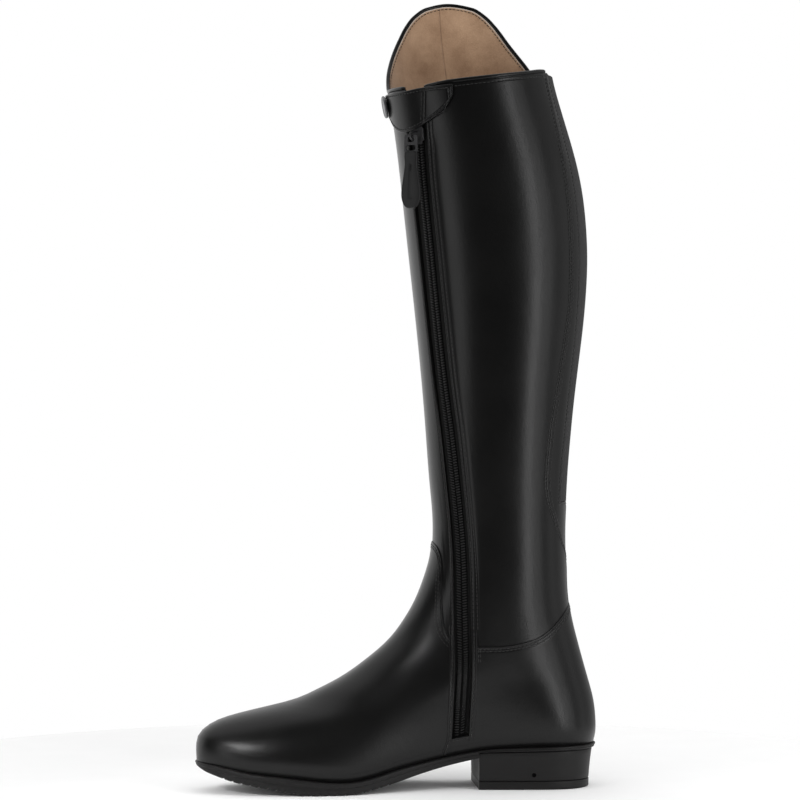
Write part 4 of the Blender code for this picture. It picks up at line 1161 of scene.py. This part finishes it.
def makePull():
    seat, _, _, out = sliderFrame()
    facing = math.radians(sliderSizes["facing"])
    outward = np.array((math.cos(facing), math.sin(facing), 0))
    axis = np.cross((0, 0, -1), outward)
    middle = seat + (sliderSizes["plate"] + sliderSizes["leg"]) * out + (
        sliderSizes["sidestep"] * axis)
    matrix = frameMatrix(axis, (0, 0, 1), outward, middle)
    half = pullSizes["frameWidth"] / 2
    metalFrame = outlinePiece("pull_metal_frame", (
        roundedBox(-half, half, -pullSizes["frameBottom"], pullSizes["frameTop"], 1.3),
        roundedBox(-pullSizes["eyeHalf"], pullSizes["eyeHalf"], -pullSizes["eyeLow"],
                   -pullSizes["frameTop"], 0.7),
        roundedBox(-pullSizes["holeHalf"], pullSizes["holeHalf"], -pullSizes["holeLow"],
                   -pullSizes["holeTop"], 1.8)), pullSizes["frameThick"], 0.28, metal, matrix)
    place(metalFrame, "zip_pull", "zip_pull_frame", slot="dark_metal")
    ends = (0.35, 0.62, 0.82, 0.94, 1.0)
    drops = np.concatenate((np.linspace(10.2, 11.4, 6)[:-1], np.linspace(11.4, 46.6, 72),
                            np.linspace(46.6, 48.3, 7)[1:]))
    halves = gripShape.at(drops, "half")
    thick = np.full(len(drops), pullSizes["gripThick"] / 2)
    thick[:5] *= ends
    thick[-5:] *= ends[::-1]
    low, high = pullSizes["groove"]
    angles = np.arange(64) * 2 * np.pi / 64
    rings = []
    for drop, half, deep in zip(drops, halves, thick):
        flat = np.sign(np.cos(angles)) * np.abs(np.cos(angles)) ** 0.62
        tall = np.sign(np.sin(angles)) * np.abs(np.sin(angles)) ** 0.42
        x = half * flat
        inGroove = float(ease(drop, low, low + 1.2) * (1 - ease(drop, high - 1.2, high)))
        dip = pullSizes["grooveDeep"] * inGroove * np.clip(
            1.25 - (np.abs(x) / pullSizes["grooveHalf"]) ** 2, 0, 1)
        z = (deep * np.abs(tall) - dip * (np.abs(tall) > 0.5)) * np.sign(tall)
        rings.append(np.stack((x, np.full(64, -drop), z), -1))
    grip = sweepPiece("pull_moulded_grip", np.array(rings)[:, ::-1], plastic, 50)
    grip.data.transform(Matrix.Scale(1 / mm, 4))
    grip.data.transform(matrix @ Matrix.Scale(mm, 4))
    place(grip, "zip_pull", "zip_pull_grip", slot="black_plastic")


# ---- elastic at the back of the shaft
elasticSizes = {"gap": 0.3, "face": -0.78, "ribPitch": 2.15, "ribDeep": 0.34, "ribSlope": 0.32}


def makeElastic():
    line = lambda rise: backTurn(rise, "elastic", elasticSizes["gap"])
    back = lambda rise: 1.0 + 0.0 * rise
    lines = fill(line, back, 74) + [back]
    lines += [lambda rise, line=line: 2 - line(rise) for line in lines[-2::-1]]
    low = leatherSizes["elasticLow"] + elasticSizes["gap"]
    rises = np.stack([low + np.linspace(0, 1, 190) * (riseOn(line, topHeight) - low)
                      for line in lines], -1)
    turns = turnsOn(lines, rises)
    over = (turns - 1) / turnFor(rises, 1.0, 1.0)
    phase = (over - elasticSizes["ribSlope"] * rises) / elasticSizes["ribPitch"]
    rib = np.abs(np.cos(np.pi * phase)) ** 0.7
    top = rises[-1:] - rises
    hem = np.clip(1 - top / 1.5, 0, 1)
    lift = elasticSizes["face"] - elasticSizes["ribDeep"] * (1 - rib) * (1 - hem)
    piece = wall("ribbed_elastic", skin(rises, turns, lift),
                 skin(rises, turns, -leatherSizes["wall"]), elasticCloth, sharp=60)
    place(piece, "boot", "elastic_panel", slot="black_elastic")


# ---- tab over the zip's top, snap button, piping on the collar
tabSizes = {
    "end": -0.105,           # beyond the front, in turns
    "rear": -57.8,           # its rear edge along the foot
    "under": 0.25, "face": 2.6, "edge": 0.8,
    "row": 2.0,              # stitches from its edge
    "seam": -75.3,           # its rear part lies over the front part from here
    "overlap": 0.35,
    "dent": 0.3,             # how deep the stitches pull the leather in
}
tabShape = SizeTable(
    "share low high",
    (0, 460, 462.5), (0.03, 455, 465.5), (0.09, 452.3, 466.4), (0.214, 450.5, 466.6),
    (0.337, 444.2, 466.6), (0.437, 440.7, 466.6), (0.518, 439.5, 466.6), (0.594, 440.2, 466.8),
    (0.671, 441.6, 467.4), (0.78, 445, 468.3), (0.884, 449.9, 468.9), (0.945, 454.4, 469.2),
    (0.98, 458.9, 469.3), (1, 462, 469.3), steady=True)
tabPatch = ((-74.4, 466.0), (-61.0, 467.0), (-59.9, 460.0), (-62.4, 452.2), (-74.4, 445.4),
            (-74.4, 466.0))


def tabTurn(share, rise):
    return tabSizes["end"] + share * (turnAt(rise, tabSizes["rear"]) - tabSizes["end"])


def tabLift(turn, rise):
    along = lastPoint(rise, turn)[..., 1]
    side = np.clip((along - tabSizes["seam"]) / 0.3, 0, 1) * (turn > 0)
    return tabSizes["face"] - tabSizes["overlap"] * (1 - side)


def besidePatch(flat):
    # how far each point is from the patch's stitch line
    nearest = np.full(flat.shape[:2], 99.0)
    for first, last in zip(np.array(tabPatch[:-1]), np.array(tabPatch[1:])):
        way = last - first
        share = np.clip(((flat - first) @ way) / (way @ way), 0, 1)
        away = flat - first - share[..., None] * way
        nearest = np.minimum(nearest, np.linalg.norm(away, axis=-1))
    return nearest


def makeTab():
    near = np.array((0, 0.1, 0.25, 0.45, 0.7, 1.0, 1.4, 1.8, 2.2, 2.6, 3.2))
    length = 92.0
    shares = np.concatenate((near / length, np.linspace(near[-1] / length, 1 - near[-1] / length,
                                                        170)[1:-1], 1 - near[::-1] / length))
    low = tabShape.at(shares, "low")
    high = tabShape.at(shares, "high")
    tall = high - low
    middle = np.linspace(0, 1, 64)[1:-1]
    step = np.minimum(1.0, 0.45 * tall / near[-1])
    fromEdge = near[:, None] * step
    rises = np.concatenate((
        low + fromEdge,
        low + fromEdge[-1] + middle[:, None] * (tall - 2 * fromEdge[-1]),
        (high - fromEdge)[::-1]))
    turns = tabTurn(shares, rises)
    spine = lastPoint(rises[rises.shape[0] // 2], turns[rises.shape[0] // 2])
    steps = np.linalg.norm(np.diff(spine, axis=0), axis=1)
    run = np.concatenate(([0.0], np.cumsum(steps)))
    distance = np.minimum(np.minimum(rises - low, high - rises), np.minimum(run, run[-1] - run))
    lift = tabLift(turns, rises) - rounded(distance, tabSizes["edge"])
    flat = np.stack((lastPoint(rises, turns)[..., 1], rises), -1)
    dent = tabSizes["dent"] * np.exp(-(besidePatch(flat) / 0.5) ** 2)
    lift = lift - np.maximum(pinched(distance, (tabSizes["row"],), tabSizes["dent"]), dent)
    piece = wall("zip_cover_tab", skin(rises, turns, lift), skin(rises, turns, tabSizes["under"]),
                 leather)
    place(piece, "boot", "zip_tab", slot="black_leather")


buttonSizes = {"height": 459.0, "seat": 2.9}
buttonProfile = ((0, 1.95), (2.0, 1.92), (3.6, 1.82), (4.9, 1.62), (5.35, 1.48), (5.7, 1.5),
                 (6.1, 1.78), (6.5, 1.98), (6.95, 2.0), (7.3, 1.8), (7.52, 1.45), (7.6, 1.0),
                 (7.52, 0.55), (7.2, 0.2), (6.6, 0.0), (0, 0.0))


def lathePiece(name, profile, origin, axis, material, sides=72):
    axis = unit(np.asarray(axis, float))
    first = unit(np.cross(axis, (0.3, 0.2, 1.0)))
    second = np.cross(axis, first)
    angles = np.arange(sides) * 2 * np.pi / sides
    ring = np.cos(angles)[:, None] * first + np.sin(angles)[:, None] * second
    rings = [np.asarray(origin) + max(radius, 0.01) * ring + height * axis
             for radius, height in profile]
    return sweepPiece(name, np.array(rings)[::-1], material, 50)


def makeButton():
    normal = lastNormal(buttonSizes["height"], 0.0)
    seat = skin(buttonSizes["height"], 0.0, buttonSizes["seat"])
    button = lathePiece("button_disc", buttonProfile, seat, normal, buttonMetal)
    stud = lathePiece("button_stud", ((0, 0.4), (3.4, 0.4), (3.6, 0.2), (3.6, -0.7), (0, -0.7)),
                      seat, normal, metal)
    whole = join("snap_disc", [button, stud])
    place(whole, "boot", "snap_button", slot="dark_metal")


pipingSizes = {"radius": 1.3, "gap": 0.4, "flange": 0.75}


def rimRun(first, last, count):
    lines = fill(first, last, count) + [last]
    rises = np.array([riseOn(line, topHeight) for line in lines])
    turns = np.array([float(line(rise)) for line, rise in zip(lines, rises)])
    rim = skin(rises, turns, -leatherSizes["wall"] / 2)
    normals = lastNormal(rises, turns)
    away = unit(np.cross(normals, np.gradient(rim, axis=0)))
    away *= np.sign(away[:, 2:])
    return rim, away, normals


def makeFlange(rim, away, normals):
    # the cord's own edge, which is sewn in between leather and lining
    low, high = -0.6, pipingSizes["gap"] + 0.5
    outer = np.stack([rim + up * away + 0.35 * normals for up in (low, high)])
    inner = np.stack([rim + up * away - pipingSizes["flange"] * normals for up in (low, high)])
    flange = wall("flange", outer, inner, leather)
    flange.data.materials.append(paleEdgeHighlight)
    count = len(rim) - 1
    # the flange's inner face takes the pale beige, a painted highlight inside the collar
    for face in list(flange.data.polygons)[count:2 * count]:
        face.material_index = 1
    return flange


def makePiping():
    groove = lambda rise: grooveTurn(rise, -0.35)
    outerGroove = lambda rise: -grooveTurn(rise, -0.35)
    runs = (("inner", slotLine(1), groove, 60), ("outer", outerGroove, slotLine(-1), 150))
    for side, first, last, count in runs:
        rim, away, normals = rimRun(first, last, count)
        centres = rim + (pipingSizes["gap"] + pipingSizes["radius"]) * away
        cord = tubePiece("cord", centres, away, pipingSizes["radius"], leather, 18)
        cord = join("piping_cord_" + side, [cord, makeFlange(rim, away, normals)])
        place(cord, "boot", "collar_piping_" + side, slot="black_leather")


# ---- sole, heel and insole
solePlan = {"front": -226.3, "back": 44.8, "heelIn": 33.2, "heelOut": 33.4, "waistIn": 29.2,
            "waistOut": 34.4, "ballIn": 45.4, "ballOut": 46.2, "nose": 0.36, "tail": 0.14,
            "fullness": 2.4}
soleSizes = {
    "breast": -37.5, "skew": 2.0, "gap": 0.3,
    "barPitch": 5.8, "barStart": -214.4, "bars": 20,
    "heelInset": 2.2, "heelTaper": 2.2, "topPiece": 5.7,
    "ribsFrom": -8.0, "ribsTo": 32.0, "ribPitch": 1.4, "ribDeep": 0.4,
}
# the sole's side: a welt over a rounded edge, as share of the way down and how far it stands out
soleSide = ((0.0, -1.3), (0.012, -0.75), (0.035, -0.35), (0.08, -0.08), (0.14, 0.0), (0.34, 0.0),
            (0.385, -0.1), (0.42, -0.35), (0.445, -0.62), (0.475, -0.62), (0.6, -0.48),
            (0.74, -0.5), (0.85, -0.7), (0.93, -1.0), (0.975, -1.35), (1.0, -2.0))
barShape = ((0.0, 0.0), (1.8, 0.0), (3.5, 0.0), (4.3, 0.3), (5.0, 0.68), (5.45, 0.8))


def soleEdge(turn, out):
    before = planPoint(solePlan, turn - 0.004)
    after = planPoint(solePlan, turn + 0.004)
    across, along = planPoint(solePlan, turn)
    over = after[0] - before[0]
    back = after[1] - before[1]
    length = np.hypot(over, back)
    return across + out * back / length, along - out * over / length


def soleTurn(along):
    share = (along - solePlan["front"]) / (solePlan["back"] - solePlan["front"])
    return np.arccos(1 - 2 * np.clip(share, 0, 1)) / np.pi


def acrossPiece(name, inner, outer, material, steps=8, sharp=38):
    # stations along the foot, each with its edge points from top to bottom on both sides
    shares = np.linspace(0, 1, steps + 1)[1:-1][None, :, None]
    low = inner[:, -1:] + shares * (outer[:, -1:] - inner[:, -1:])
    high = outer[:, :1] + shares * (inner[:, :1] - outer[:, :1])
    return sweepPiece(name, np.concatenate((inner, low, outer[:, ::-1], high), 1), material, sharp)


def makeSole():
    heelFront = soleSizes["breast"] - soleSizes["gap"]
    start = soleSizes["barStart"]
    firstTurn = soleTurn(start)
    toeTurns = np.linspace(0.0, 1.0, 22)[:-1] ** 1.15 * firstTurn
    stations = [(turn, 0.0, False) for turn in toeTurns]
    for bar in range(soleSizes["bars"]):
        stations += [(float(soleTurn(start + bar * soleSizes["barPitch"] + step)), up, False)
                     for step, up in barShape]
    last = start + soleSizes["bars"] * soleSizes["barPitch"]
    stations += [(float(soleTurn(along)), 0.0, False)
                 for along in np.linspace(last, heelFront, 22)]
    seatTurn = float(soleTurn(heelFront + 0.05))
    stations += [(turn, 0.0, True) for turn in seatTurn + (1 - seatTurn) * np.linspace(0, 1, 44)]
    turns = np.array([station[0] for station in stations])
    ups = np.array([station[1] for station in stations])
    seat = np.array([station[2] for station in stations])
    along = planPoint(solePlan, turns)[1]
    top = soleTop.at(along, "top")
    bottom = np.where(seat, heelSeat.at(along, "bottom"), treadLine.at(along, "bottom") + ups)
    sides = []
    for side in (1, -1):
        sides.append(np.stack([np.stack((*soleEdge(side * turns, out),
                                         top + share * (bottom - top)), -1)
                               for share, out in soleSide], 1))
    piece = acrossPiece("rubber_sole", sides[0], sides[1], rubber, 14)
    place(piece, "boot", "outsole", slot="black_rubber")


def heelStations(alongs, levels):
    sides = []
    breast = soleSizes["breast"]
    for side, skew in ((1, 0.0), (-1, soleSizes["skew"])):
        places = alongs + skew * np.clip(1 - (alongs - breast) / 25, 0, 1)
        turns = soleTurn(places)
        rows = []
        for inset, height in levels:
            across, along = soleEdge(side * turns, -inset)
            rows.append(np.stack((across, along, height(along, alongs)), -1))
        sides.append(np.stack(rows, 1))
    return sides


def makeHeel():
    breast = soleSizes["breast"]
    back = solePlan["back"]
    round_ = back - (back - 30.0) * np.cos(np.linspace(0, np.pi / 2, 30))
    round_[-1] = back
    top = soleSizes["heelInset"]
    low = top + soleSizes["heelTaper"]
    alongs = np.concatenate((np.linspace(breast, 30, 24)[:-1], round_))
    levels = []
    for share in (0, 0.01, 0.03, 0.2, 0.4, 0.6, 0.8, 0.97, 0.99, 1.0):
        near = min(share, 1 - share)
        inset = top + share * (low - top) + 0.25 * math.sin(math.pi * share)
        inset += 0.4 * max(1 - near / 0.03, 0) ** 2
        levels.append((inset, lambda along, flat, share=share: (
            (1 - share) * (heelSeat.at(along, "bottom") - soleSizes["gap"])
            + share * (soleSizes["topPiece"] + soleSizes["gap"]))))
    inner, outer = heelStations(alongs, levels)
    block = acrossPiece("heel_stack", inner, outer, rubber)
    block.data.materials.append(breastPaintedSheen)
    # faces turned toward the toe take that paler grey: a painted reflection, not a different
    # rubber
    for face in block.data.polygons:
        if face.normal.y < -0.9 and face.center.y < (breast + 4) * mm:
            face.material_index = 1
    place(block, "boot", "heel_block", slot="black_rubber")

    ribs = np.arange(soleSizes["ribsFrom"], soleSizes["ribsTo"], soleSizes["ribPitch"] / 2)
    alongs = np.concatenate((np.linspace(breast, ribs[0], 14)[:-1], ribs, back - (
        back - ribs[-1] - 0.7) * np.cos(np.linspace(0, np.pi / 2, 26))))
    alongs[-1] = back
    cut = np.zeros(len(alongs))
    cut[14:14 + len(ribs) - 2:2] = soleSizes["ribDeep"]
    cutAt = lambda flat: np.interp(flat, alongs, cut)
    levels = ((low + 0.5, lambda along, flat: soleSizes["topPiece"] + 0 * flat),
              (low + 0.12, lambda along, flat: soleSizes["topPiece"] - 0.15 + 0 * flat),
              (low, lambda along, flat: soleSizes["topPiece"] - 0.5 + 0 * flat),
              (low, lambda along, flat: 1.3 + cutAt(flat)),
              (low + 0.12, lambda along, flat: 0.7 + cutAt(flat)),
              (low + 0.42, lambda along, flat: 0.2 + cutAt(flat)),
              (low + 0.9, lambda along, flat: cutAt(flat)))
    inner, outer = heelStations(alongs, levels)
    piece = acrossPiece("heel_lift", inner, outer, rubber)
    place(piece, "boot", "heel_top_piece", slot="black_rubber")

    turn = soleTurn(-1.0)
    across, along = soleEdge(turn, -(top + 1.55))
    plug = lathePiece("heel_plug", ((0, -0.15), (0.9, -0.1), (1.05, 0.0), (1.15, 0.1),
                                    (1.3, 0.1), (1.4, -0.05), (1.4, -0.6), (0, -0.6)),
                      (float(across), float(along), 10.0), (1.0, 0.0, 0.1), deepBlack, 32)
    place(plug, "boot", slot="black_rubber")


def makeInsole():
    turns = np.linspace(0, 1, 90)
    sides = []
    for side in (1, -1):
        edge = skin(0.0, side * turns, -leatherSizes["wall"] - 1.1)
        seat = soleTop.at(edge[:, 1], "top") + soleSizes["gap"]
        middle = centreLine.at(edge[:, 1], "across")
        rows = []
        for inset, up in ((0.9, 3.0), (0.35, 2.85), (0.05, 2.4), (0.0, 0.3), (0.15, 0.0)):
            reach = 1 - inset / np.maximum(np.abs(edge[:, 0] - middle), 1.5)
            rows.append(np.stack((middle + (edge[:, 0] - middle) * reach, edge[:, 1],
                                  seat + up), -1))
        sides.append(np.stack(rows, 1))
    piece = acrossPiece("padded_insole", sides[0], sides[1], suede, 14)
    place(piece, "boot", "insole", slot="tan_lining")


# ---- strips beside the zip over the foot, back seam cord and all rows of stitches
stripSizes = {"width": 3.6, "face": 1.3, "above": 15.0, "below": 3.4, "row": 1.7}


def stripLift(rise, seam):
    climb = ease(seam + stripSizes["above"] - rise, 0.0, stripSizes["above"])
    return -0.45 + (stripSizes["face"] + 0.45) * climb


def stripTurn(rise, side, beside):
    # the front strip runs on to the sole, leaning forward below the zip's end
    lean = 3.4 * (1 - ease(rise, 0.0, 13.0)) if side < 0 else 0.0
    return slotTurn(rise, side, beside) - turnFor(rise, lean, slotTurn(rise, side))


def makeStrips():
    steps = np.array((0.06, 0.14, 0.26, 0.42, 0.65, 1.0, 1.4, 1.8, 2.2, 2.6, 2.95, 3.18, 3.34,
                      3.46, 3.54))
    distance = np.minimum(steps - 0.06, steps[-1] - steps)
    pieces = []
    for side, low in ((-1, 0.5), (1, leatherSizes["slotLow"] - stripSizes["below"])):
        seam = riseOn(slotLine(side, 1.8), seamHeight)
        rises = low + np.linspace(0, 1, 90) * (seam + stripSizes["above"] - low)
        rises = np.stack([rises] * len(steps), -1)
        turns = np.stack([stripTurn(rises[:, column], side, step)
                          for column, step in enumerate(steps)], -1)
        if side < 0:
            rises, turns = rises[:, ::-1], turns[:, ::-1]
        face = stripLift(rises, seam)
        lift = face - rounded(distance, 0.45)
        lift = lift - pinched(steps, (stripSizes["row"],), 0.3, 0.5)
        under = np.minimum(face - 0.5, leatherSizes["footLift"] - 0.05)
        pieces.append(wall("strip", skin(rises, turns, lift), skin(rises, turns, under), leather))
    whole = join("zip_strips", pieces)
    place(whole, "boot", slot="black_leather")


def makeBackSeam():
    rises = np.linspace(117, 190.5, 60)
    lift = -0.1 - 0.75 * ease(rises, 146, 160)
    centres = skin(rises, 1.0, lift)
    cord = tubePiece("back_seam_cord", centres, lastNormal(rises, 1.0 + 0 * rises), 0.8, leather,
                     12, 0.8)
    place(cord, "boot", slot="black_leather")


def run(rises, turns, lift):
    rises, turns = np.broadcast_arrays(np.asarray(rises, float), np.asarray(turns, float))
    return skin(rises, turns, lift), lastNormal(rises, turns)


def makeZipStitches():
    runs = []
    for side in (-1, 1):
        seam = riseOn(slotLine(side, 1.8), seamHeight)
        start = seam + stripSizes["above"]
        rows = (leatherSizes["frontRow"],) if side < 0 else leatherSizes["rearRows"]
        for row in rows:
            top = riseOn(slotLine(side, row), topHeight)
            rises = np.arange(start - 4.0, top - 2.0, 1.0)
            runs.append(run(rises, slotTurn(rises, side, row),
                            bandLift(rises, side * row) - 0.1))
        low = 1.2 if side < 0 else leatherSizes["slotLow"] - 1.6
        rises = np.arange(low, start - 5.0, 1.0)
        runs.append(run(rises, stripTurn(rises, side, stripSizes["row"]),
                        stripLift(rises, seam) - 0.05))
    low = leatherSizes["slotLow"] - 1.6
    turns = np.linspace(slotTurn(low, -1, 0.4), slotTurn(low, 1, 1.0), 12)
    runs.append(run(low, turns, leatherSizes["footLift"]))
    return runs


def makeGrooveStitches():
    runs = []
    for row in leatherSizes["grooveRows"]:
        top = riseOn(lambda rise: grooveTurn(rise, -row), topHeight)
        low = riseOn(lambda rise: grooveTurn(rise, -row), seamHeight)
        rises = np.arange(low + 2, top - 2, 1.0)
        for side in (1, -1):
            runs.append(run(rises, side * grooveTurn(rises, -row), -0.1))
    rises = np.arange(168.0, 475.0, 1.0)
    for side in (1, -1):
        runs.append(run(rises, side * grooveTurn(rises, leatherSizes["panelRow"]), -0.72))
    low = leatherSizes["elasticLow"] - leatherSizes["elasticRow"]
    rises = np.arange(low, 475.0, 1.0)
    for side in (1, -1):
        runs.append(run(rises, side * backTurn(rises, "elastic", -leatherSizes["elasticRow"]),
                        -0.8))
    edge = float(backTurn(low, "elastic", -leatherSizes["elasticRow"]))
    turns = np.linspace(edge, 2 - edge, 40)
    runs.append(run(np.full(40, low), turns, -0.8))
    return runs


def makeSeamStitches():
    runs = []
    for row in leatherSizes["seamRows"]:
        reach = stripSizes["width"] + 0.8
        front = float(slotTurn(95.0, -1, reach))
        rear = float(slotTurn(95.0, 1, reach))
        for first, last, count in ((rear, 2.0, 200), (0.0, front, 90)):
            turns = np.linspace(first, last, count)
            seams = seamHeight(turns)
            climb = (seamHeight(turns + 0.004) - seamHeight(turns - 0.004)) / 0.008
            slant = np.hypot(1, climb * turnFor(seams, 1.0, turns))
            runs.append(run(seams - row * slant, turns, leatherSizes["footLift"] - 0.1))
    bars = np.arange(84.0, 96.0, 1.0)
    for beyond in (4.4, 5.6):
        runs.append(run(bars, slotTurn(bars, 1, beyond), leatherSizes["footLift"] - 0.02))
    return runs


def makeCollarStitches():
    runs = []
    row = leatherSizes["collarRow"]
    groove = lambda rise: grooveTurn(rise, -5.0)
    outerGroove = lambda rise: -grooveTurn(rise, -5.0)
    for first, last, count in (
            (slotLine(1, 4.5), groove, 60), (outerGroove, slotLine(-1, 4.5), 150)):
        lines = fill(first, last, count) + [last]
        rises = np.array([riseOn(line, topHeight) for line in lines])
        turns = np.array([float(line(rise)) for line, rise in zip(lines, rises)])
        climb = (topHeight(turns + 0.004) - topHeight(turns - 0.004)) / 0.008
        slant = np.hypot(1, climb * turnFor(rises, 1.0, turns))
        runs.append(run(rises - row * slant, turns, -0.1))
        inside, normals = run(rises - 0.9 * slant, turns, -leatherSizes["wall"] - 0.02)
        runs.append((inside, -normals))
    return runs


def makeTabStitches():
    runs = []
    row = tabSizes["row"]
    shares = np.linspace(0.035, 0.97, 120)
    for name, sign in (("low", 1), ("high", -1)):
        rises = tabShape.at(shares, name) + sign * row
        turns = tabTurn(shares, rises)
        runs.append(run(rises, turns, tabLift(turns, rises) - 0.1))
    rises = np.linspace(tabShape.at(0.97, "low") + row, tabShape.at(0.97, "high") - row, 10)
    turns = tabTurn(0.975, rises)
    runs.append(run(rises, turns, tabLift(turns, rises) - 0.1))
    corners = np.array(tabPatch)
    for first, last in zip(corners[:-1], corners[1:]):
        line = first + np.linspace(0, 1, 14)[:, None] * (last - first)
        turns = turnAt(line[:, 1], line[:, 0])
        runs.append(run(line[:, 1], turns, tabSizes["face"] - 0.12))
    rises = np.linspace(446.5, 465.0, 14)
    turns = turnAt(rises, tabSizes["seam"] - 1.1)
    runs.append(run(rises, turns, tabSizes["face"] - tabSizes["overlap"]))
    return runs


makeShaft()
makeFoot()
print("shaft and foot leather are cut")
makePanel()
makeLining()
makeElastic()
print("back panel, lining and elastic are in")
makeTape()
makeTeeth()
makeSlider()
makePull()
makeStrips()
makeTab()
makeButton()
makePiping()
makeBackSeam()
print("zip, tab, button and piping are on")
makeSole()
makeHeel()
makeInsole()
print("the foot is soled")
for name, runs in (("zip_stitches", makeZipStitches()), ("back_stitches", makeGrooveStitches()),
                   ("seam_stitches", makeSeamStitches()), ("tab_stitches", makeTabStitches()),
                   ("collar_stitches", makeCollarStitches())):
    place(threads(name, runs, thread), "boot", slot="black_leather")
print("the seams are stitched")


# ---- camera, light and floor
studio = {
    "yaw": 6.0, "distance": 2.1, "aim": (0.0, -0.088, 0.266), "lens": 140.0,
    "shift": 7.4 / 800,
    "world": 1.0,            # the plain white light, and below it the room that gloss mirrors
    "room": {"behindToe": 1.16, "behindHeel": 0.52, "heelSide": 0.42, "front": 0.0, "top": 1.0},
    "floor": 0.42,           # radius
}


def lookFrom(azimuth, elevation, distance, aim):
    # azimuth 0 is the inner side, and it turns toward the heel
    a = math.radians(azimuth)
    e = math.radians(elevation)
    out = Vector((math.cos(a) * math.cos(e), math.sin(a) * math.cos(e), math.sin(e)))
    matrix = out.to_track_quat("Z", "Y").to_matrix().to_4x4()
    matrix.translation = Vector(aim) + distance * out
    return matrix


def addCamera():
    camera = bpy.data.objects.new("camera", bpy.data.cameras.new("camera"))
    camera.data.sensor_width = 36.0
    camera.data.lens = studio["lens"]
    camera.data.shift_y = -studio["shift"]
    camera.data.clip_end = 50.0
    camera.matrix_world = lookFrom(-studio["yaw"], 0.0, studio["distance"], studio["aim"])
    bpy.context.scene.collection.objects.link(camera)
    bpy.context.scene.camera = camera


def addSoftbox(name, azimuth, elevation, distance, width, height, power,
               aim=(0.0, -0.05, 0.25), spread=180):
    light = bpy.data.lights.new(name, "AREA")
    light.shape = "RECTANGLE"
    light.size = width
    light.size_y = height
    light.energy = power
    light.spread = math.radians(spread)
    lamp = bpy.data.objects.new(name, light)
    lamp.matrix_world = lookFrom(azimuth, elevation, distance, aim)
    lamp.visible_camera = False
    bpy.context.scene.collection.objects.link(lamp)


def paintWorld():
    # plain white, but a room with dark and light sides where it is mirrored
    book = Book("studio_room", bpy.data.worlds, "Generated")
    bpy.context.scene.world = book.material
    room = studio["room"]
    across, along, up = (book.axis(name) for name in "XYZ")
    heelward = book.slope(along, -0.15, 0.15)
    behind = 1 - book.slope(across, -0.45, -0.15)
    front = book.slope(across, 0.15, 0.45)
    low = behind * (room["behindToe"] + heelward * (room["behindHeel"] - room["behindToe"]))
    low = low + (1 - behind) * (1 - front) * heelward * room["heelSide"] + front * room["front"]
    high = (1 - book.slope(across, 0.0, 0.4)) * room["top"]
    share = book.slope(up, 0.45, 0.75)
    mirrored = low + share * (high - low)
    glossy = book.node("ShaderNodeLightPath", output="Is Glossy Ray")
    strength = studio["world"] + glossy * (mirrored - studio["world"])
    shade = book.node("ShaderNodeBackground", {}, {"Color": (1, 1, 1, 1), "Strength": strength})
    book.node("ShaderNodeOutputWorld", {}, {"Surface": shade})


def layFloor():
    book = Book("pale_floor")
    grit = book.noise(30.0, 2.0)
    colour = book.mix(grit, (0.93, 0.93, 0.93), (0.96, 0.96, 0.96))
    material = book.finish(colour, 0.9, book.bump(grit, 0.01, 0.1), {"Specular IOR Level": 0.1})
    mesh = bpy.data.meshes.new("floor")
    rim = [(studio["floor"] * math.cos(angle), studio["floor"] * math.sin(angle) - 0.09, 0)
           for angle in np.linspace(0, 2 * np.pi, 97)[:-1]]
    mesh.from_pydata(rim, [], [range(len(rim))])
    mesh.materials.append(material)
    floor = bpy.data.objects.new("floor", mesh)
    bpy.context.scene.collection.objects.link(floor)


addCamera()
paintWorld()
layFloor()
inner = (0.03, 0.0, 0.25)
addSoftbox("heel_strip", 37.0, 0.0, 0.7, 0.08, 1.0, 2.3, inner)
addSoftbox("heel_glow", 54.0, 0.0, 0.7, 0.12, 1.0, 0.9, inner)
addSoftbox("heel_side", 80.0, 0.0, 1.6, 0.5, 1.3, 1.0)
addSoftbox("toe_strip", -60.0, 0.0, 1.6, 0.3, 1.2, 2.4)
addSoftbox("toe_glow", -50.0, 0.0, 1.6, 0.2, 1.2, 1.45)
addSoftbox("toe_spot", -36.0, 30.0, 0.8, 0.2, 0.2, 0.05, (0.036, -0.198, 0.032), 14)
bpy.context.scene.view_settings.view_transform = "Standard"
print("camera and light are set")
